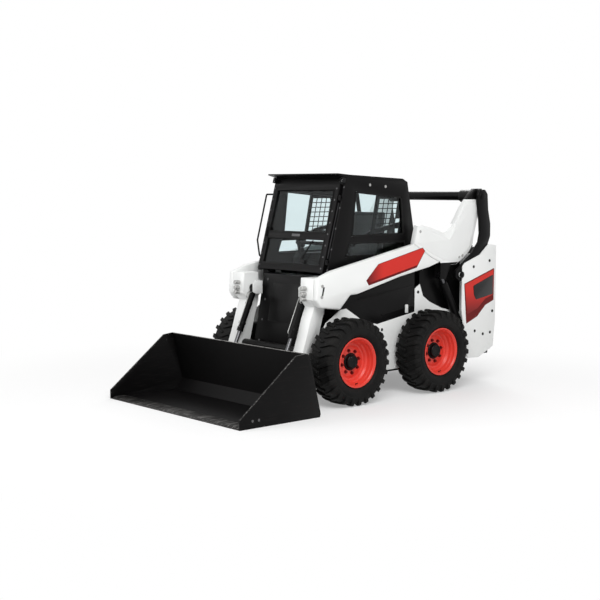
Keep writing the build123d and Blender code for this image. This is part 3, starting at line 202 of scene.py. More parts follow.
white_paint = paint("white paint", (0.80, 0.81, 0.80), 0.28, dust=0.10, drift=0.02)
black_paint = paint("black paint", (0.003, 0.0028, 0.003), 0.34, peel=0.10, dust=0.012, shine=0.11)
grey_paint = paint("grey paint", (0.065, 0.065, 0.068), 0.40, dust=0.10)
rim_paint = paint("wheel red", (0.70, 0.046, 0.030), 0.32, dust=0.05, shine=0.35)
dark_red_paint = paint("stripe dark red", (0.13, 0.006, 0.006), 0.30, dust=0.0, shine=0.12)
zinc = paint("zinc plate", (0.42, 0.42, 0.41), 0.34, metal=0.9, dust=0.0)
dull_steel = paint("dull steel", (0.10, 0.10, 0.105), 0.28, metal=1.0, dust=0.0)
iron = paint("engine iron", (0.10, 0.10, 0.105), 0.55, peel=0.5, metal=0.4, dust=0.0)
print("paints made", len(bpy.data.materials))

# %% Vinyl that fades from dark red to red
FADE_DARK, FADE_RED = (0.15, 0.008, 0.008), (0.60, 0.026, 0.018)


def fading(name, axis, start, end):
    """Stripe vinyl: dark red at `start` along one axis of the object, full red from `end` on."""
    material, tree, shader = start_material(name)
    share = map_range(tree, along(tree, axis), start, end, kind="SMOOTHSTEP")
    tone = mix(tree, share, FADE_DARK, FADE_RED)
    plug(tree, shader, {"Base Color": tone, "Roughness": 0.3, "Specular IOR Level": 0.2})
    return material


arm_red = fading("arm stripe red", "Y", FRONT_AXLE + 0.28, FRONT_AXLE + 0.52)
flash_red = fading("flash red", "Z", 0.66, 0.96)
print("with vinyl", len(bpy.data.materials))

# %% [markdown]
# ## Rubber, steel, glass and seat vinyl
# Tyre rubber is matt and carries dry dust in its pores. The bucket's black paint has fine scratches that
# run the way earth slides over it, so the noise is stretched front to back. The cutting edge is black with
# steel that shows through in the same streaks, and only the strip along the top lip is worn bare. Glass
# keeps a plain colour, the faint blue-green of safety glass, and the seat's vinyl has a pebbled grain that
# comes from Voronoi cells.

# %% Rubber and plastic
def rubber_like(name, colour, pale, gloss, grain, amount):
    """Matt black stuff with a fine grain and a paler bloom."""
    material, tree, shader = start_material(name)
    tone = ramp(tree, noise(tree, 9.0, 6.0), [(0.35, colour), (0.75, pale)])
    plug(tree, shader, {"Base Color": tone, "Roughness": gloss, "Specular IOR Level": 0.13})
    bump(tree, shader, noise(tree, grain, 4.0), amount, 0.0008)
    return material


rubber = rubber_like("tyre rubber", (0.003, 0.003, 0.003), (0.008, 0.0075, 0.007), 0.62, 160.0, 0.35)
seal = rubber_like("door seal", (0.005, 0.005, 0.005), (0.009, 0.009, 0.009), 0.55, 260.0, 0.2)
plastic = rubber_like("moulded plastic", (0.007, 0.007, 0.0075), (0.012, 0.012, 0.0125), 0.48, 340.0, 0.3)
print("with rubber", len(bpy.data.materials))

# %% Bucket paint and the worn edge
ALONG_STREAKS = (14.0, 1.0, 14.0)       # noise runs long from front to back
STREAK_SOFTNESS, STREAK_GLOSS = 0.16, (0.30, 0.52)


def scratched(name, colour, bare, share, metal):
    """Black paint or steel with streaks that run from front to back."""
    material, tree, shader = start_material(name)
    streak = noise(tree, 6.0, 8.0, ALONG_STREAKS)
    plug(tree, shader, {
        "Base Color": ramp(tree, streak, [(share, colour), (share + STREAK_SOFTNESS, bare)]),
        "Roughness": map_range(tree, streak, 0.0, 1.0, *STREAK_GLOSS),
        "Metallic": metal, "Specular IOR Level": 0.10})
    bump(tree, shader, noise(tree, 300.0, 3.0), 0.12, 0.0006)
    return material


bucket_paint = scratched("bucket black", (0.0025, 0.0023, 0.0024), (0.007, 0.0062, 0.006), 0.56, 0.0)
edge_steel = scratched("worn edge steel", (0.010, 0.0095, 0.009), (0.16, 0.155, 0.15), 0.50, 0.5)
worn_steel = scratched("bare worn steel", (0.10, 0.097, 0.093), (0.34, 0.33, 0.32), 0.38, 0.7)
print("with steel", len(bpy.data.materials))

# %% Glass, lenses and badge
def pane(name, colour, gloss=0.0):
    """Clear tinted glass."""
    material, tree, shader = start_material(name)
    plug(tree, shader, {"Base Color": colour, "Roughness": gloss, "IOR": 1.22, "Transmission Weight": 1.0})
    bump(tree, shader, noise(tree, 1.5, 1.0), 0.02, 0.002)
    return material


glass = pane("cab glass", (0.83, 0.905, 0.915))
lens = pane("lamp lens", (0.93, 0.94, 0.95), 0.05)
red_lens = paint("red lens", (0.70, 0.02, 0.015), 0.12, peel=0.3, dust=0.0)
reflector = paint("lamp reflector", (0.85, 0.85, 0.86), 0.12, metal=1.0, dust=0.0)
badge_black = paint("badge black", (0.007, 0.007, 0.0075), 0.25, dust=0.0, shine=0.3)
print("with glass", len(bpy.data.materials))

# %% Seat vinyl
def vinyl(name, colour):
    """Pebbled vinyl with a soft sheen."""
    material, tree, shader = start_material(name)
    lighter = tuple(c * 1.5 for c in colour)
    tone = ramp(tree, noise(tree, 12.0, 4.0), [(0.3, colour), (0.7, lighter)])
    plug(tree, shader, {"Base Color": tone, "Roughness": 0.46, "Sheen Weight": 0.2})
    pebbles = add_node(tree, "ShaderNodeTexVoronoi", {"Vector": own_place(tree), "Scale": 420.0})
    bump(tree, shader, pebbles, 0.35, 0.001)
    return material


seat_vinyl = vinyl("seat vinyl", (0.010, 0.010, 0.011))
print("with seat", len(bpy.data.materials))

# %% [markdown]
# ## Three ways to make a piece
# Most sheet-metal parts of this machine are a side outline with a thickness, once on the left and once on
# the right: `slab` does that. Bars and pipes are a line with a thickness: `tube` lets a curve make it.
# Tyres, rims and hubs are turned on a lathe: `turned` spins a profile. A true edge is never perfectly
# sharp, and it is the narrow bevel that catches the light and makes steel look like steel.

# %% Finishing a mesh
MERGE = 0.00002                 # points nearer than this are one point
SHARP = radians(28)             # edges that turn more than this are eased
EDGE_ROOM = 0.42                # share of a neighbouring edge that a bevel may take
home = {name: body for body, names in frame["record"]["behaviour"]["bodies"].items() for name in names}


def add_object(name, data):
    """New object at the origin that holds a mesh, a curve, a lamp or a camera."""
    obj = bpy.data.objects.new(name, data)
    bpy.context.scene.collection.objects.link(obj)
    return obj


def mesh_of(bm, name):
    """New mesh from a bmesh, which ends here."""
    mesh = bpy.data.meshes.new(name)
    bm.to_mesh(mesh)
    bm.free()
    return mesh


def shade(mesh, angle=32):
    """Smooth shading that stays crisp where faces meet at more than the angle."""
    mesh.shade_smooth()
    mesh.set_sharp_from_angle(angle=radians(angle))


def settled(obj):
    """Turn an object with modifiers, or a curve, into a plain mesh with the same name."""
    evaluated = obj.evaluated_get(bpy.context.evaluated_depsgraph_get())
    mesh = bpy.data.meshes.new_from_object(evaluated)
    name = obj.name
    bpy.data.objects.remove(obj)
    mesh.name = name
    return add_object(name, mesh)


# %% Easing the edges of a piece
def weigh_edges(bm, width):
    """Give each sharp edge the share of the width that its neighbours leave room for."""
    share = bm.edges.layers.float.new("bevel_weight_edge")
    for edge in bm.edges:
        if len(edge.link_faces) == 2 and edge.calc_face_angle(0) >= SHARP:
            near = [other for vert in edge.verts for other in vert.link_edges if other is not edge]
            edge[share] = min([width] + [EDGE_ROOM * other.calc_length() for other in near]) / width


def piece(name, bm, material, body, bevel=0.0, angle=32, weighted=False):
    """Finish a bmesh: normals outward, edges eased, one material, riding on a body."""
    bmesh.ops.remove_doubles(bm, verts=bm.verts, dist=MERGE)
    bmesh.ops.recalc_face_normals(bm, faces=bm.faces)
    if weighted:
        weigh_edges(bm, bevel)
    obj = add_object(name, mesh_of(bm, name))
    if bevel:
        edge = obj.modifiers.new("eased edges", "BEVEL")
        edge.width = bevel
        edge.segments = 2
        edge.limit_method = "WEIGHT" if weighted else "ANGLE"
        edge.angle_limit = SHARP
        obj = settled(obj)
    obj.data.materials.clear()
    obj.data.materials.append(material)
    shade(obj.data, angle)
    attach(obj, body)
    return obj


# %% Slabs from a side outline
def bridge(bm, one, two):
    """Add the faces between two rings of points."""
    for i in range(len(one)):
        j = (i + 1) % len(one)
        bm.faces.new([one[i], one[j], two[j], two[i]])


def prism(bm, outline, x0, x1):
    """Add a closed block: a side outline of points drawn out from x0 to x1."""
    first, last = [[bm.verts.new(at(x, *p)) for p in outline] for x in (x0, x1)]
    bm.faces.new(first)
    bm.faces.new(last[::-1])
    bridge(bm, last, first)


def slab(name, outline, x0, x1, material, body, bevel=0.0, both=True):
    """A plate cut to a side outline, on the left side and, mirrored, on the right."""
    bm = bmesh.new()
    prism(bm, outline, x0, x1)
    if both:
        prism(bm, outline, -x0, -x1)
    return piece(name, bm, material, body, bevel)


# %% Tubes along lines of points
def tube(name, runs, radius, material, body, sides=3):
    """Round bars along one or more lines of points."""
    curve = bpy.data.curves.new(name, "CURVE")
    curve.dimensions = "3D"
    curve.bevel_depth = radius
    curve.bevel_resolution = sides
    curve.use_fill_caps = True
    for points in runs:
        line = curve.splines.new("POLY")
        line.points.add(len(points) - 1)
        for knot, point in zip(line.points, points):
            knot.co = (*point, 1)
    obj = settled(add_object(name, curve))
    bm = bmesh.new()
    bm.from_mesh(obj.data)
    bpy.data.objects.remove(obj)
    return piece(name, bm, material, body)


# %% Shapes turned on a lathe
def turned(name, profile, steps, centre, side, material, body, angle):
    """Closed (x, r) profile spun about the wheel axis through `centre`."""
    bm = bmesh.new()
    rings = []
    for k in range(steps):
        a = 2 * pi * k / steps
        rings.append([bm.verts.new(centre + Vector((side * x, r * cos(a), r * sin(a)))) for x, r in profile])
    for k in range(steps):
        here, there = rings[k], rings[(k + 1) % steps]
        for i in range(len(profile)):
            j = (i + 1) % len(profile)
            if profile[i][1] or profile[j][1]:      # no face between two points on the axis
                bm.faces.new([here[i], here[j], there[j], there[i]])
    return piece(name, bm, material, body, angle=angle)


# %% Outlines with round corners
ARC_STEPS = 4                   # straight steps in a round corner


def corners(points):
    """Each point of a closed outline with the points before and after it."""
    count = len(points)
    for i in range(count):
        yield [Vector(points[(i + k) % count]) for k in (-1, 0, 1)]


def rounded(points, radius):
    """Side outline with its corners rounded; the radius shrinks where a corner has no room."""
    out = []
    for before, here, after in corners(points):
        back, forth = before - here, after - here
        cut = min(radius, back.length * 0.45, forth.length * 0.45)
        start, end = here + back.normalized() * cut, here + forth.normalized() * cut
        for k in range(ARC_STEPS + 1):
            t = k / ARC_STEPS
            out.append(tuple(start.lerp(here, t).lerp(here.lerp(end, t), t)))
    return out


def rectangle(behind0, behind1, z0, z1):
    """Side outline of an upright block."""
    return [(behind0, z0), (behind1, z0), (behind1, z1), (behind0, z1)]


print("a rounded square has", len(rounded(rectangle(0, 1, 0, 1), 0.1)), "points")

# %% [markdown]
# ## Paint and soften the engineering parts
# Each plate, post and plate-work part from the engineering model keeps its exact shape and gets two
# things: its finish, and a copy with eased edges. The model's own mesh is loose triangles, so the copy is
# merged and its flat faces joined before the Bevel modifier runs. Copying and bevelling by code treats
# fifty parts alike; modelling each again by hand would only add mistakes.

# %% Finishes and edge radii of the engineering parts
finish_of = {
    white_paint: {
        0.030: "arm_legs", 0.014: "arm_beams", 0.010: "arm_rear_plates tailgate", 0.004: "rear_panels",
        0.0025: "frame_sides", 0.002: "tilt_brackets rear_boxes"},
    black_paint: {
        0.008: "bumper", 0.006: "rear_links roof", 0.004: "cab_frame door_frame hood_lid",
        0.003: "arm_crossmember axle_tubes engine_mounts front_plate seat_bar",
        0.002: "cab_stands cab_pivots gate_hinges belly_pan chaincases lift_barrels rear_tube tilt_barrels",
        0.0012: "window_guards", 0.001: "hood_hinges engine_bay_sides side_skirts", 0.0: "grab_handle"},
    bucket_paint: {0.0025: "bucket_shell", 0.002: "carrier_frames carrier_tube"},
    plastic: {0.006: "controls seat_base", 0.003: "work_lamps"},
    iron: {0.020: "engine_block"},
    dull_steel: {0.001: "lift_rods tilt_rods"},
    edge_steel: {0.0008: "cutting_edge"},
    red_lens: {0.004: "tail_lamps gate_lamps"},
    glass: {0.0: "side_windows rear_window door_glass"},
}
print("finishes", len(finish_of))

# %% Copy, merge and bevel
def copy_of(node):
    """Bmesh copy of a CAD node, with its loose triangles merged."""
    bm = bmesh.new()
    bm.from_mesh(nodes[node].data)
    bmesh.ops.remove_doubles(bm, verts=bm.verts, dist=MERGE)
    return bm


def softened(node, material, width):
    """Copy of a CAD node with eased edges, which then stands for it."""
    bm = copy_of(node)
    bmesh.ops.dissolve_limit(bm, angle_limit=radians(0.8), verts=bm.verts, edges=bm.edges)
    obj = piece(node + "_finished", bm, material, home[node], bevel=width, weighted=True)
    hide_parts(node)
    return obj


def repaint(obj, material, chosen):
    """Give a second material to the faces whose middle passes the test."""
    obj.data.materials.append(material)
    faces = [face for face in obj.data.polygons if chosen(face.center)]
    for face in faces:
        face.material_index = len(obj.data.materials) - 1
    print(obj.name, "repainted faces", len(faces))


finished = {}
for material, widths in finish_of.items():
    for width, names in widths.items():
        for node in names.split():
            if width:
                finished[node] = softened(node, material, width)
            else:
                nodes[node].data.materials.clear()
                nodes[node].data.materials.append(material)
print("softened", len(finished), "parts")

# %% [markdown]
# ## Node trees for what repeats
# A loader is full of repeats: tyre lugs round a wheel, louvres on a hood, bolts on a panel. Each kind gets
# one Geometry Nodes tree with named inputs, so the number and the spacing are settings and not copies.
# `ring` turns a shape round the wheel axis, `row` steps it along a line and `bolt heads` puts a hexagon
# head with its washer on every point, facing the way that the point's own `facing` attribute says.

# %% A tree and its inputs
def new_tree(name, inputs):
    """Empty geometry tree with named inputs, given as (name, socket type), and what comes in."""
    tree = bpy.data.node_groups.new(name, "GeometryNodeTree")
    for label, kind in [("Geometry", "Geometry"), *inputs, ("Material", "Material")]:
        tree.interface.new_socket(label, in_out="INPUT", socket_type="NodeSocket" + kind)
    tree.interface.new_socket("Geometry", in_out="OUTPUT", socket_type="NodeSocketGeometry")
    return tree, tree.nodes.new("NodeGroupInput").outputs


def end_tree(tree, source, copies):
    """Realize the instances, give them the material and leave the tree."""
    real = add_node(tree, "GeometryNodeRealizeInstances", {"Geometry": copies})
    painted = add_node(tree, "GeometryNodeSetMaterial", {"Geometry": real, "Material": source["Material"]})
    add_node(tree, "NodeGroupOutput", {"Geometry": painted})


def grown(name, mesh, tree, settings, body):
    """Run a tree on a mesh and keep the result as a plain piece on a body."""
    obj = add_object(name, mesh)
    modifier = obj.modifiers.new("tree", "NODES")
    modifier.node_group = tree
    for item in tree.interface.items_tree:
        if item.item_type == "SOCKET" and item.in_out == "INPUT" and item.name in settings:
            modifier[item.identifier] = settings[item.name]
    obj = settled(obj)
    shade(obj.data)
    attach(obj, body)
    return obj


# %% The ring tree
tree, source = new_tree("ring", [("Count", "Int"), ("Start", "Float"), ("Centre", "Vector")])
ring_tree = tree
line = add_node(tree, "GeometryNodeMeshLine", {"Count": source["Count"], "Offset": (0, 0, 0)})
share = maths(tree, "DIVIDE", add_node(tree, "GeometryNodeInputIndex"), source["Count"])
turn = maths(tree, "MULTIPLY_ADD", share, 2 * pi, source["Start"])
copies = add_node(tree, "GeometryNodeInstanceOnPoints", {
    "Points": line, "Instance": source["Geometry"],
    "Rotation": add_node(tree, "ShaderNodeCombineXYZ", {"X": turn})})
end_tree(tree, source, add_node(tree, "GeometryNodeTransform", {
    "Geometry": copies, "Translation": source["Centre"]}))
print("ring tree nodes", len(tree.nodes))


# %% The row tree
tree, source = new_tree("row", [("Count", "Int"), ("Step", "Vector")])
row_tree = tree
line = add_node(tree, "GeometryNodeMeshLine", {"Count": source["Count"], "Offset": source["Step"]})
end_tree(tree, source, add_node(tree, "GeometryNodeInstanceOnPoints", {
    "Points": line, "Instance": source["Geometry"]}))
print("row tree nodes", len(tree.nodes))


# %% The bolt tree
tree, source = new_tree("bolt heads", [("Across", "Float"), ("Height", "Float")])
bolt_tree = tree
head = add_node(tree, "GeometryNodeJoinGeometry")
for corner_count, wide, deep in ((6, 0.577, 1.0), (14, 0.82, 0.4)):      # the hexagon and its washer
    plug(tree, head, {"Geometry": add_node(tree, "GeometryNodeMeshCylinder", {
        "Vertices": corner_count, "Radius": maths(tree, "MULTIPLY", source["Across"], wide),
        "Depth": maths(tree, "MULTIPLY", source["Height"], deep)})})
facing = add_node(tree, "GeometryNodeInputNamedAttribute", {"Name": "facing"}, data_type="FLOAT_VECTOR")
aim = add_node(tree, "FunctionNodeAlignRotationToVector", {"Vector": facing}, axis="Z")
end_tree(tree, source, add_node(tree, "GeometryNodeInstanceOnPoints", {
    "Points": source["Geometry"], "Instance": head, "Rotation": aim}))
print("trees", [tree.name for tree in bpy.data.node_groups])

# %% Rows of shapes and bolts on points
def bolts(name, places, material, body, across=0.018, height=0.007):
    """Hexagon heads at (point, direction) places."""
    mesh = bpy.data.meshes.new(name)
    mesh.from_pydata([tuple(point) for point, _ in places], [], [])
    way = mesh.attributes.new("facing", "FLOAT_VECTOR", "POINT")
    for item, (_, direction) in zip(way.data, places):
        item.vector = direction
    return grown(name, mesh, bolt_tree, {"Across": across, "Height": height, "Material": material}, body)


def both_sides(x, spots):
    """Places on the left face at x and on the right one, looking outward, at (behind, up) spots."""
    return [(at(side * x, *spot), Vector((side, 0, 0))) for side in (1, -1) for spot in spots]


def row(name, bm, count, step, material, body):
    """A shape stepped along a line."""
    bmesh.ops.recalc_face_normals(bm, faces=bm.faces)
    settings = {"Count": count, "Step": step, "Material": material}
    return grown(name, mesh_of(bm, name), row_tree, settings, body)


# %% [markdown]
# ## Tyres
# A loader's tyre has a rounded carcass and deep lugs that reach over the shoulder, one set from each
# side, half a step apart, so that one of them always grips. The carcass is a lathe shape. One lug is built
# from cross-sections, wide and buried at its foot and narrower at its top, and the ring tree repeats it.
# The right wheels use the lug's mirror image, because tread points the same way on both sides.

# %% Carcass profile and lug sections
half_carcass = [(-0.100, 0.206), (-0.104, 0.226), (-0.113, 0.233), (-0.114, 0.240), (-0.122, 0.247),
                (-0.129, 0.264), (-0.131, 0.285), (-0.129, 0.305), (-0.131, 0.309), (-0.130, 0.315),
                (-0.124, 0.341), (-0.111, 0.359), (-0.087, 0.368), (-0.040, 0.371)]
carcass = half_carcass + [(0.0, 0.372)] + [(-x, r) for x, r in half_carcass[::-1]]
carcass += [(0.097, 0.203), (0.0, 0.207), (-0.097, 0.203)]
LUGS = 26
CREST_TURN, CREST_RADIUS = 0.6, 0.33     # edges this sharp and this far out are eased
# each section: top x, top radius, foot x, foot radius, place round the tyre, half widths of top and foot
lug_sections = [
    (-0.010, 0.384, -0.010, 0.355, -0.026, 0.010, 0.015), (0.020, 0.386, 0.020, 0.355, -0.022, 0.012, 0.017),
    (0.062, 0.386, 0.062, 0.352, -0.004, 0.015, 0.020), (0.100, 0.385, 0.096, 0.345, 0.013, 0.018, 0.023),
    (0.122, 0.378, 0.108, 0.338, 0.020, 0.019, 0.024), (0.133, 0.358, 0.112, 0.328, 0.023, 0.019, 0.024),
    (0.1335, 0.334, 0.118, 0.318, 0.024, 0.018, 0.023), (0.1315, 0.312, 0.122, 0.300, 0.024, 0.015, 0.019),
]


def lug_mesh(side, name):
    """One lug on each half of the tread, for wheels whose outside is at +x (side 1) or -x (side -1)."""
    bm = bmesh.new()
    for hand, shift in ((1, 0.0), (-1, pi / LUGS)):
        rings = []
        for x_top, r_top, x_foot, r_foot, across, top, foot in lug_sections:
            ring = []
            for x, r, offset in ((x_top, r_top, -top), (x_top, r_top, top), (x_foot, r_foot, foot),
                                 (x_foot, r_foot, -foot)):
                a = (across + offset) / TYRE_R + shift
                ring.append(bm.verts.new((side * hand * x, r * sin(a), r * cos(a))))
            rings.append(ring)
        for one, two in zip(rings, rings[1:]):
            bridge(bm, one, two)
        bm.faces.new(rings[0])
        bm.faces.new(rings[-1][::-1])
    bmesh.ops.recalc_face_normals(bm, faces=bm.faces)
    crest = [e for e in bm.edges if len(e.link_faces) == 2 and e.calc_face_angle(0) > CREST_TURN
             and min(Vector((v.co.y, v.co.z)).length for v in e.verts) > CREST_RADIUS]
    bmesh.ops.bevel(bm, geom=crest, offset=0.003, segments=1, affect="EDGES")
    return mesh_of(bm, name)


# %% Four tyres
wheels = [(name, side, Vector((side * TRACK, axle, AXLE_Z))) for name, side, axle in (
    ("front_left", 1, FRONT_AXLE), ("front_right", -1, FRONT_AXLE),
    ("rear_left", 1, REAR_AXLE), ("rear_right", -1, REAR_AXLE))]
for name, side, centre in wheels:
    body = "wheel_" + name
    body_piece = turned("tyre_carcass_" + name, carcass, 96, centre, side, rubber, body, 24)
    grown("tyre_lugs_" + name, lug_mesh(side, "lug_" + name), ring_tree,
          {"Count": LUGS, "Start": radians(5), "Centre": tuple(centre), "Material": rubber}, body)
    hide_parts("tyre_" + name)
print("tyres", len(wheels), "lugs each", 2 * LUGS)

# %% [markdown]
# ## Rims, hubs and wheel nuts
# The red rim is pressed steel: a rolled lip, a wall that steps down to the well, and a dished disc bolted
# to a black hub with eight nuts. All of it is round, so it is lathe work, and the nuts are a ring.

# %% Rim and hub profiles
rim_outline = [
    (0.1115, 0.222), (0.1135, 0.217), (0.1115, 0.211), (0.103, 0.206), (0.098, 0.201), (0.074, 0.1985),
    (0.066, 0.193), (0.060, 0.1895), (0.040, 0.188), (0.034, 0.185), (0.029, 0.178), (0.022, 0.172),
    (0.008, 0.166), (0.003, 0.158), (0.002, 0.148), (0.006, 0.135), (0.010, 0.128), (0.010, 0.080),
    (0.010, 0.060), (-0.004, 0.060), (-0.004, 0.150), (-0.002, 0.172), (-0.020, 0.192), (-0.060, 0.196),
    (-0.092, 0.199), (-0.098, 0.210), (-0.103, 0.222), (-0.106, 0.222), (-0.101, 0.205), (-0.094, 0.2035),
    (0.094, 0.2035), (0.103, 0.212), (0.1075, 0.222)]
hub_outline = [(0.008, 0.078), (0.016, 0.078), (0.020, 0.074), (0.022, 0.066), (0.044, 0.062),
               (0.050, 0.056), (0.051, 0.046), (0.047, 0.043), (0.045, 0.030), (0.045, 0.0), (-0.040, 0.0),
               (-0.040, 0.066), (0.004, 0.070)]
NUT_CIRCLE = 0.1016


def nut_mesh(side, name):
    """One wheel nut with its washer and stud end, at the top of the nut circle."""
    bm = bmesh.new()
    for count, radius, x0, x1 in ((6, 0.0125, 0.008, 0.023), (14, 0.0165, 0.008, 0.0125),
                                  (10, 0.006, 0.020, 0.032)):
        turns = [2 * pi * k / count for k in range(count)]
        back, front = [[bm.verts.new((side * x, radius * cos(a), NUT_CIRCLE + radius * sin(a)))
                        for a in turns] for x in (x0, x1)]
        bm.faces.new(front)
        bm.faces.new(back[::-1])
        bridge(bm, back, front)
    bmesh.ops.recalc_face_normals(bm, faces=bm.faces)
    return mesh_of(bm, name)


# %% Four rims
for name, side, centre in wheels:
    body = "wheel_" + name
    rim = turned("wheel_rim_" + name, rim_outline, 96, centre, side, rim_paint, body, 30)
    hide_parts("rim_" + name)
    turned("wheel_hub_" + name, hub_outline, 48, centre, side, black_paint, body, 30)
    grown("wheel_nuts_" + name, nut_mesh(side, "nut_" + name), ring_tree,
          {"Count": 8, "Start": 0.2, "Centre": tuple(centre), "Material": dark_red_paint}, body)
    stem_root = centre + Vector((side * 0.078, 0.0, -0.192))
    tube("valve_stem_" + name, [[stem_root, stem_root + Vector((side * 0.03, 0, 0.012))]], 0.004, seal, body)
print("rims", len(wheels))

# %% [markdown]
# ## Lift arms
# The arms are welded box tubes with a pressed plate at the back. The plate has a faceted relief that
# stiffens it: flat facets that rise from a star-shaped border to one point. Building it as a fan of
# triangles from the centre gives true flat facets. The stripe is thin vinyl on the arm: a dark red border,
# and inside it a red that fades towards the front.

# %% Facets of the rear plate
ARM_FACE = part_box("arm_beams")[1].x
star = [(0.950, 1.528), (0.997, 1.548), (1.292, 1.474), (1.330, 1.500), (1.475, 1.585), (1.615, 1.765),
        (1.775, 1.785), (1.800, 1.740), (1.758, 1.560), (1.683, 1.330), (1.590, 1.260), (1.464, 1.200),
        (1.300, 1.225), (1.150, 1.280), (0.935, 1.395)]
peak = (1.356, 1.418)
inner_star = [Vector(p).lerp(Vector(peak), 0.06) for p in star]
for side, mark in ((1, "left"), (-1, "right")):
    bm = bmesh.new()
    foot = [bm.verts.new(at(side * (ARM_FACE - 0.004), *p)) for p in star]
    rim_line = [bm.verts.new(at(side * (ARM_FACE + 0.004), *p)) for p in inner_star]
    top = bm.verts.new(at(side * (ARM_FACE + 0.028), *peak))
    bridge(bm, foot, rim_line)
    for one, two in zip(rim_line, rim_line[1:] + rim_line[:1]):
        bm.faces.new([one, two, top])
    bm.faces.new(foot[::-1])
    piece("plate_relief_" + mark, bm, white_paint, "arms", angle=4)
print("facets on each plate", len(star))

# %% Black ends of the rear plates, and painted shade on their lugs
def cut_line(obj, spot, normal):
    """Cut a mesh along a plane, so that a colour can end there."""
    bm = bmesh.new()
    bm.from_mesh(obj.data)
    bmesh.ops.bisect_plane(bm, geom=bm.verts[:] + bm.edges[:] + bm.faces[:], plane_co=spot, plane_no=normal)
    bm.to_mesh(obj.data)
    bm.free()


ARM_IN = ARM_FACE - 0.060
LUG_TOP, HEAD_FOOT = 1.200, 1.800
for height in (LUG_TOP, HEAD_FOOT):
    cut_line(finished["arm_rear_plates"], at(0, 0, height), (0, 0, 1))


def black_end_and_shaded_lug(spot):
    """Lift-rod lugs (black as painted shade), the head that the tube runs into and the inner collars."""
    low_lug = spot.z < LUG_TOP and 1.255 < spot.y - FRONT_AXLE < 1.415
    return low_lug or spot.z > HEAD_FOOT or abs(spot.x) < ARM_IN - 0.0006


# Black on the lift-rod lugs is painted shade; the head and the inner collars are black paint.
repaint(finished["arm_rear_plates"], black_paint, black_end_and_shaded_lug)

# %% Arm stripe
stripe = [(0.277, 1.083), (0.428, 1.225), (1.011, 1.355), (1.046, 1.323), (0.935, 1.172), (0.309, 1.036)]
slab("stripe_arm_low", stripe, ARM_FACE - 0.001, ARM_FACE + 0.0007, dark_red_paint, "arms")
stripe_high = [(0.300, 1.106), (0.430, 1.221), (1.008, 1.349), (1.038, 1.321), (0.940, 1.194), (0.321, 1.061)]
slab("stripe_arm_high", stripe_high, ARM_FACE - 0.001, ARM_FACE + 0.0012, arm_red, "arms")
print("stripe length", round(stripe[3][0] - stripe[0][0], 3))

# %% [markdown]
# ## Seat
# A seat cushion is foam in a vinyl cover: it bulges in the middle and its sides pull in between the
# corners. Blender's Cloth can do that by itself. The engineering block is made a little smaller, remeshed
# into an even skin and blown up from inside for twenty frames, with a cap on how far a point may move so
# that the cushion keeps its place. The sewn channels come last, because remeshing would wipe them away.

# %% Foam and cover
SHRINK, CAP = 0.009, 0.010              # how much smaller the foam starts, and how far a point may move
SEAM_HALF, SEAM_DEPTH = 0.016, 0.009
BLOWN_FRAMES = 20


def stuffed(name, node, channels, body):
    """Cushion blown up inside the place of a CAD block; channels are (axis, place) sewn lines."""
    bm = copy_of(node)
    low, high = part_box(node)
    middle, size = (low + high) / 2, high - low
    factor = Vector([(s - 2 * SHRINK) / s for s in size])
    for v in bm.verts:
        v.co = middle + Vector([(v.co - middle)[k] * factor[k] for k in range(3)])
    obj = add_object(name, mesh_of(bm, name))
    skin = obj.modifiers.new("even skin", "REMESH")
    skin.mode = "VOXEL"
    skin.voxel_size = 0.0065
    obj = settled(obj)
    start = [v.co.copy() for v in obj.data.vertices]
    cloth = obj.modifiers.new("Cloth", "CLOTH")
    cloth.settings.use_pressure = True
    cloth.settings.uniform_pressure_force = 4.0
    cloth.settings.quality = 5
    cloth.settings.effector_weights.gravity = 0.0
    for frame_number in range(1, BLOWN_FRAMES + 1):
        bpy.context.scene.frame_set(frame_number)
    obj = settled(obj)
    bpy.context.scene.frame_set(1)
    for v, first in zip(obj.data.vertices, start):
        move = v.co - first
        if move.length > CAP:
            v.co = first + move.normalized() * CAP
    for v in obj.data.vertices:
        for axis, place in channels:
            distance = abs(v.co[axis] - place)
            if distance < SEAM_HALF:
                v.co += (middle - v.co).normalized() * SEAM_DEPTH * (1 - distance / SEAM_HALF) ** 2
    fine = obj.modifiers.new("fine", "SUBSURF")
    fine.levels = fine.render_levels = 1
    obj = settled(obj)
    obj.data.materials.append(seat_vinyl)
    obj.data.shade_smooth()
    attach(obj, body)
    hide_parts(node)
    return obj


# %% Cushion and back
low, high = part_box("seat_cushion")
cushion = stuffed("seat_pad", "seat_cushion", [(0, -0.12), (0, 0.12), (1, low.y + 0.30)], "cab")
low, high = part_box("seat_back")
back = stuffed("seat_back_pad", "seat_back",
               [(0, -0.12), (0, 0.12), (2, low.z + 0.18), (2, low.z + 0.40)], "cab")
print("cushion points", len(cushion.data.vertices), "back points", len(back.data.vertices))

# %% [markdown]
# ## Cab front
# The door leans back with the cab, so its details are placed on the leaning plane: `front` takes a place
# across, a height up the slope and a distance out of it. The door gets rubber seals round its two panes,
# screws, a latch plate on the cross bar and a wiper, and the post beside it gets a strip of dull steel.

# %% The leaning plane
CAB_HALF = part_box("cab_frame")[1].x
lean = atan2(0.235, 0.860)
CAB_FRONT = (-0.075, 1.140)


def front(x, height, out):
    """Point on the cab's leaning front: across, up the slope and out of it."""
    return at(x, CAB_FRONT[0] + height * sin(lean) - out * cos(lean),
              CAB_FRONT[1] + height * cos(lean) + out * sin(lean))


OUTWARD = Vector((0, -cos(lean), sin(lean)))
print("the front leans back by", round(lean, 3), "radians")


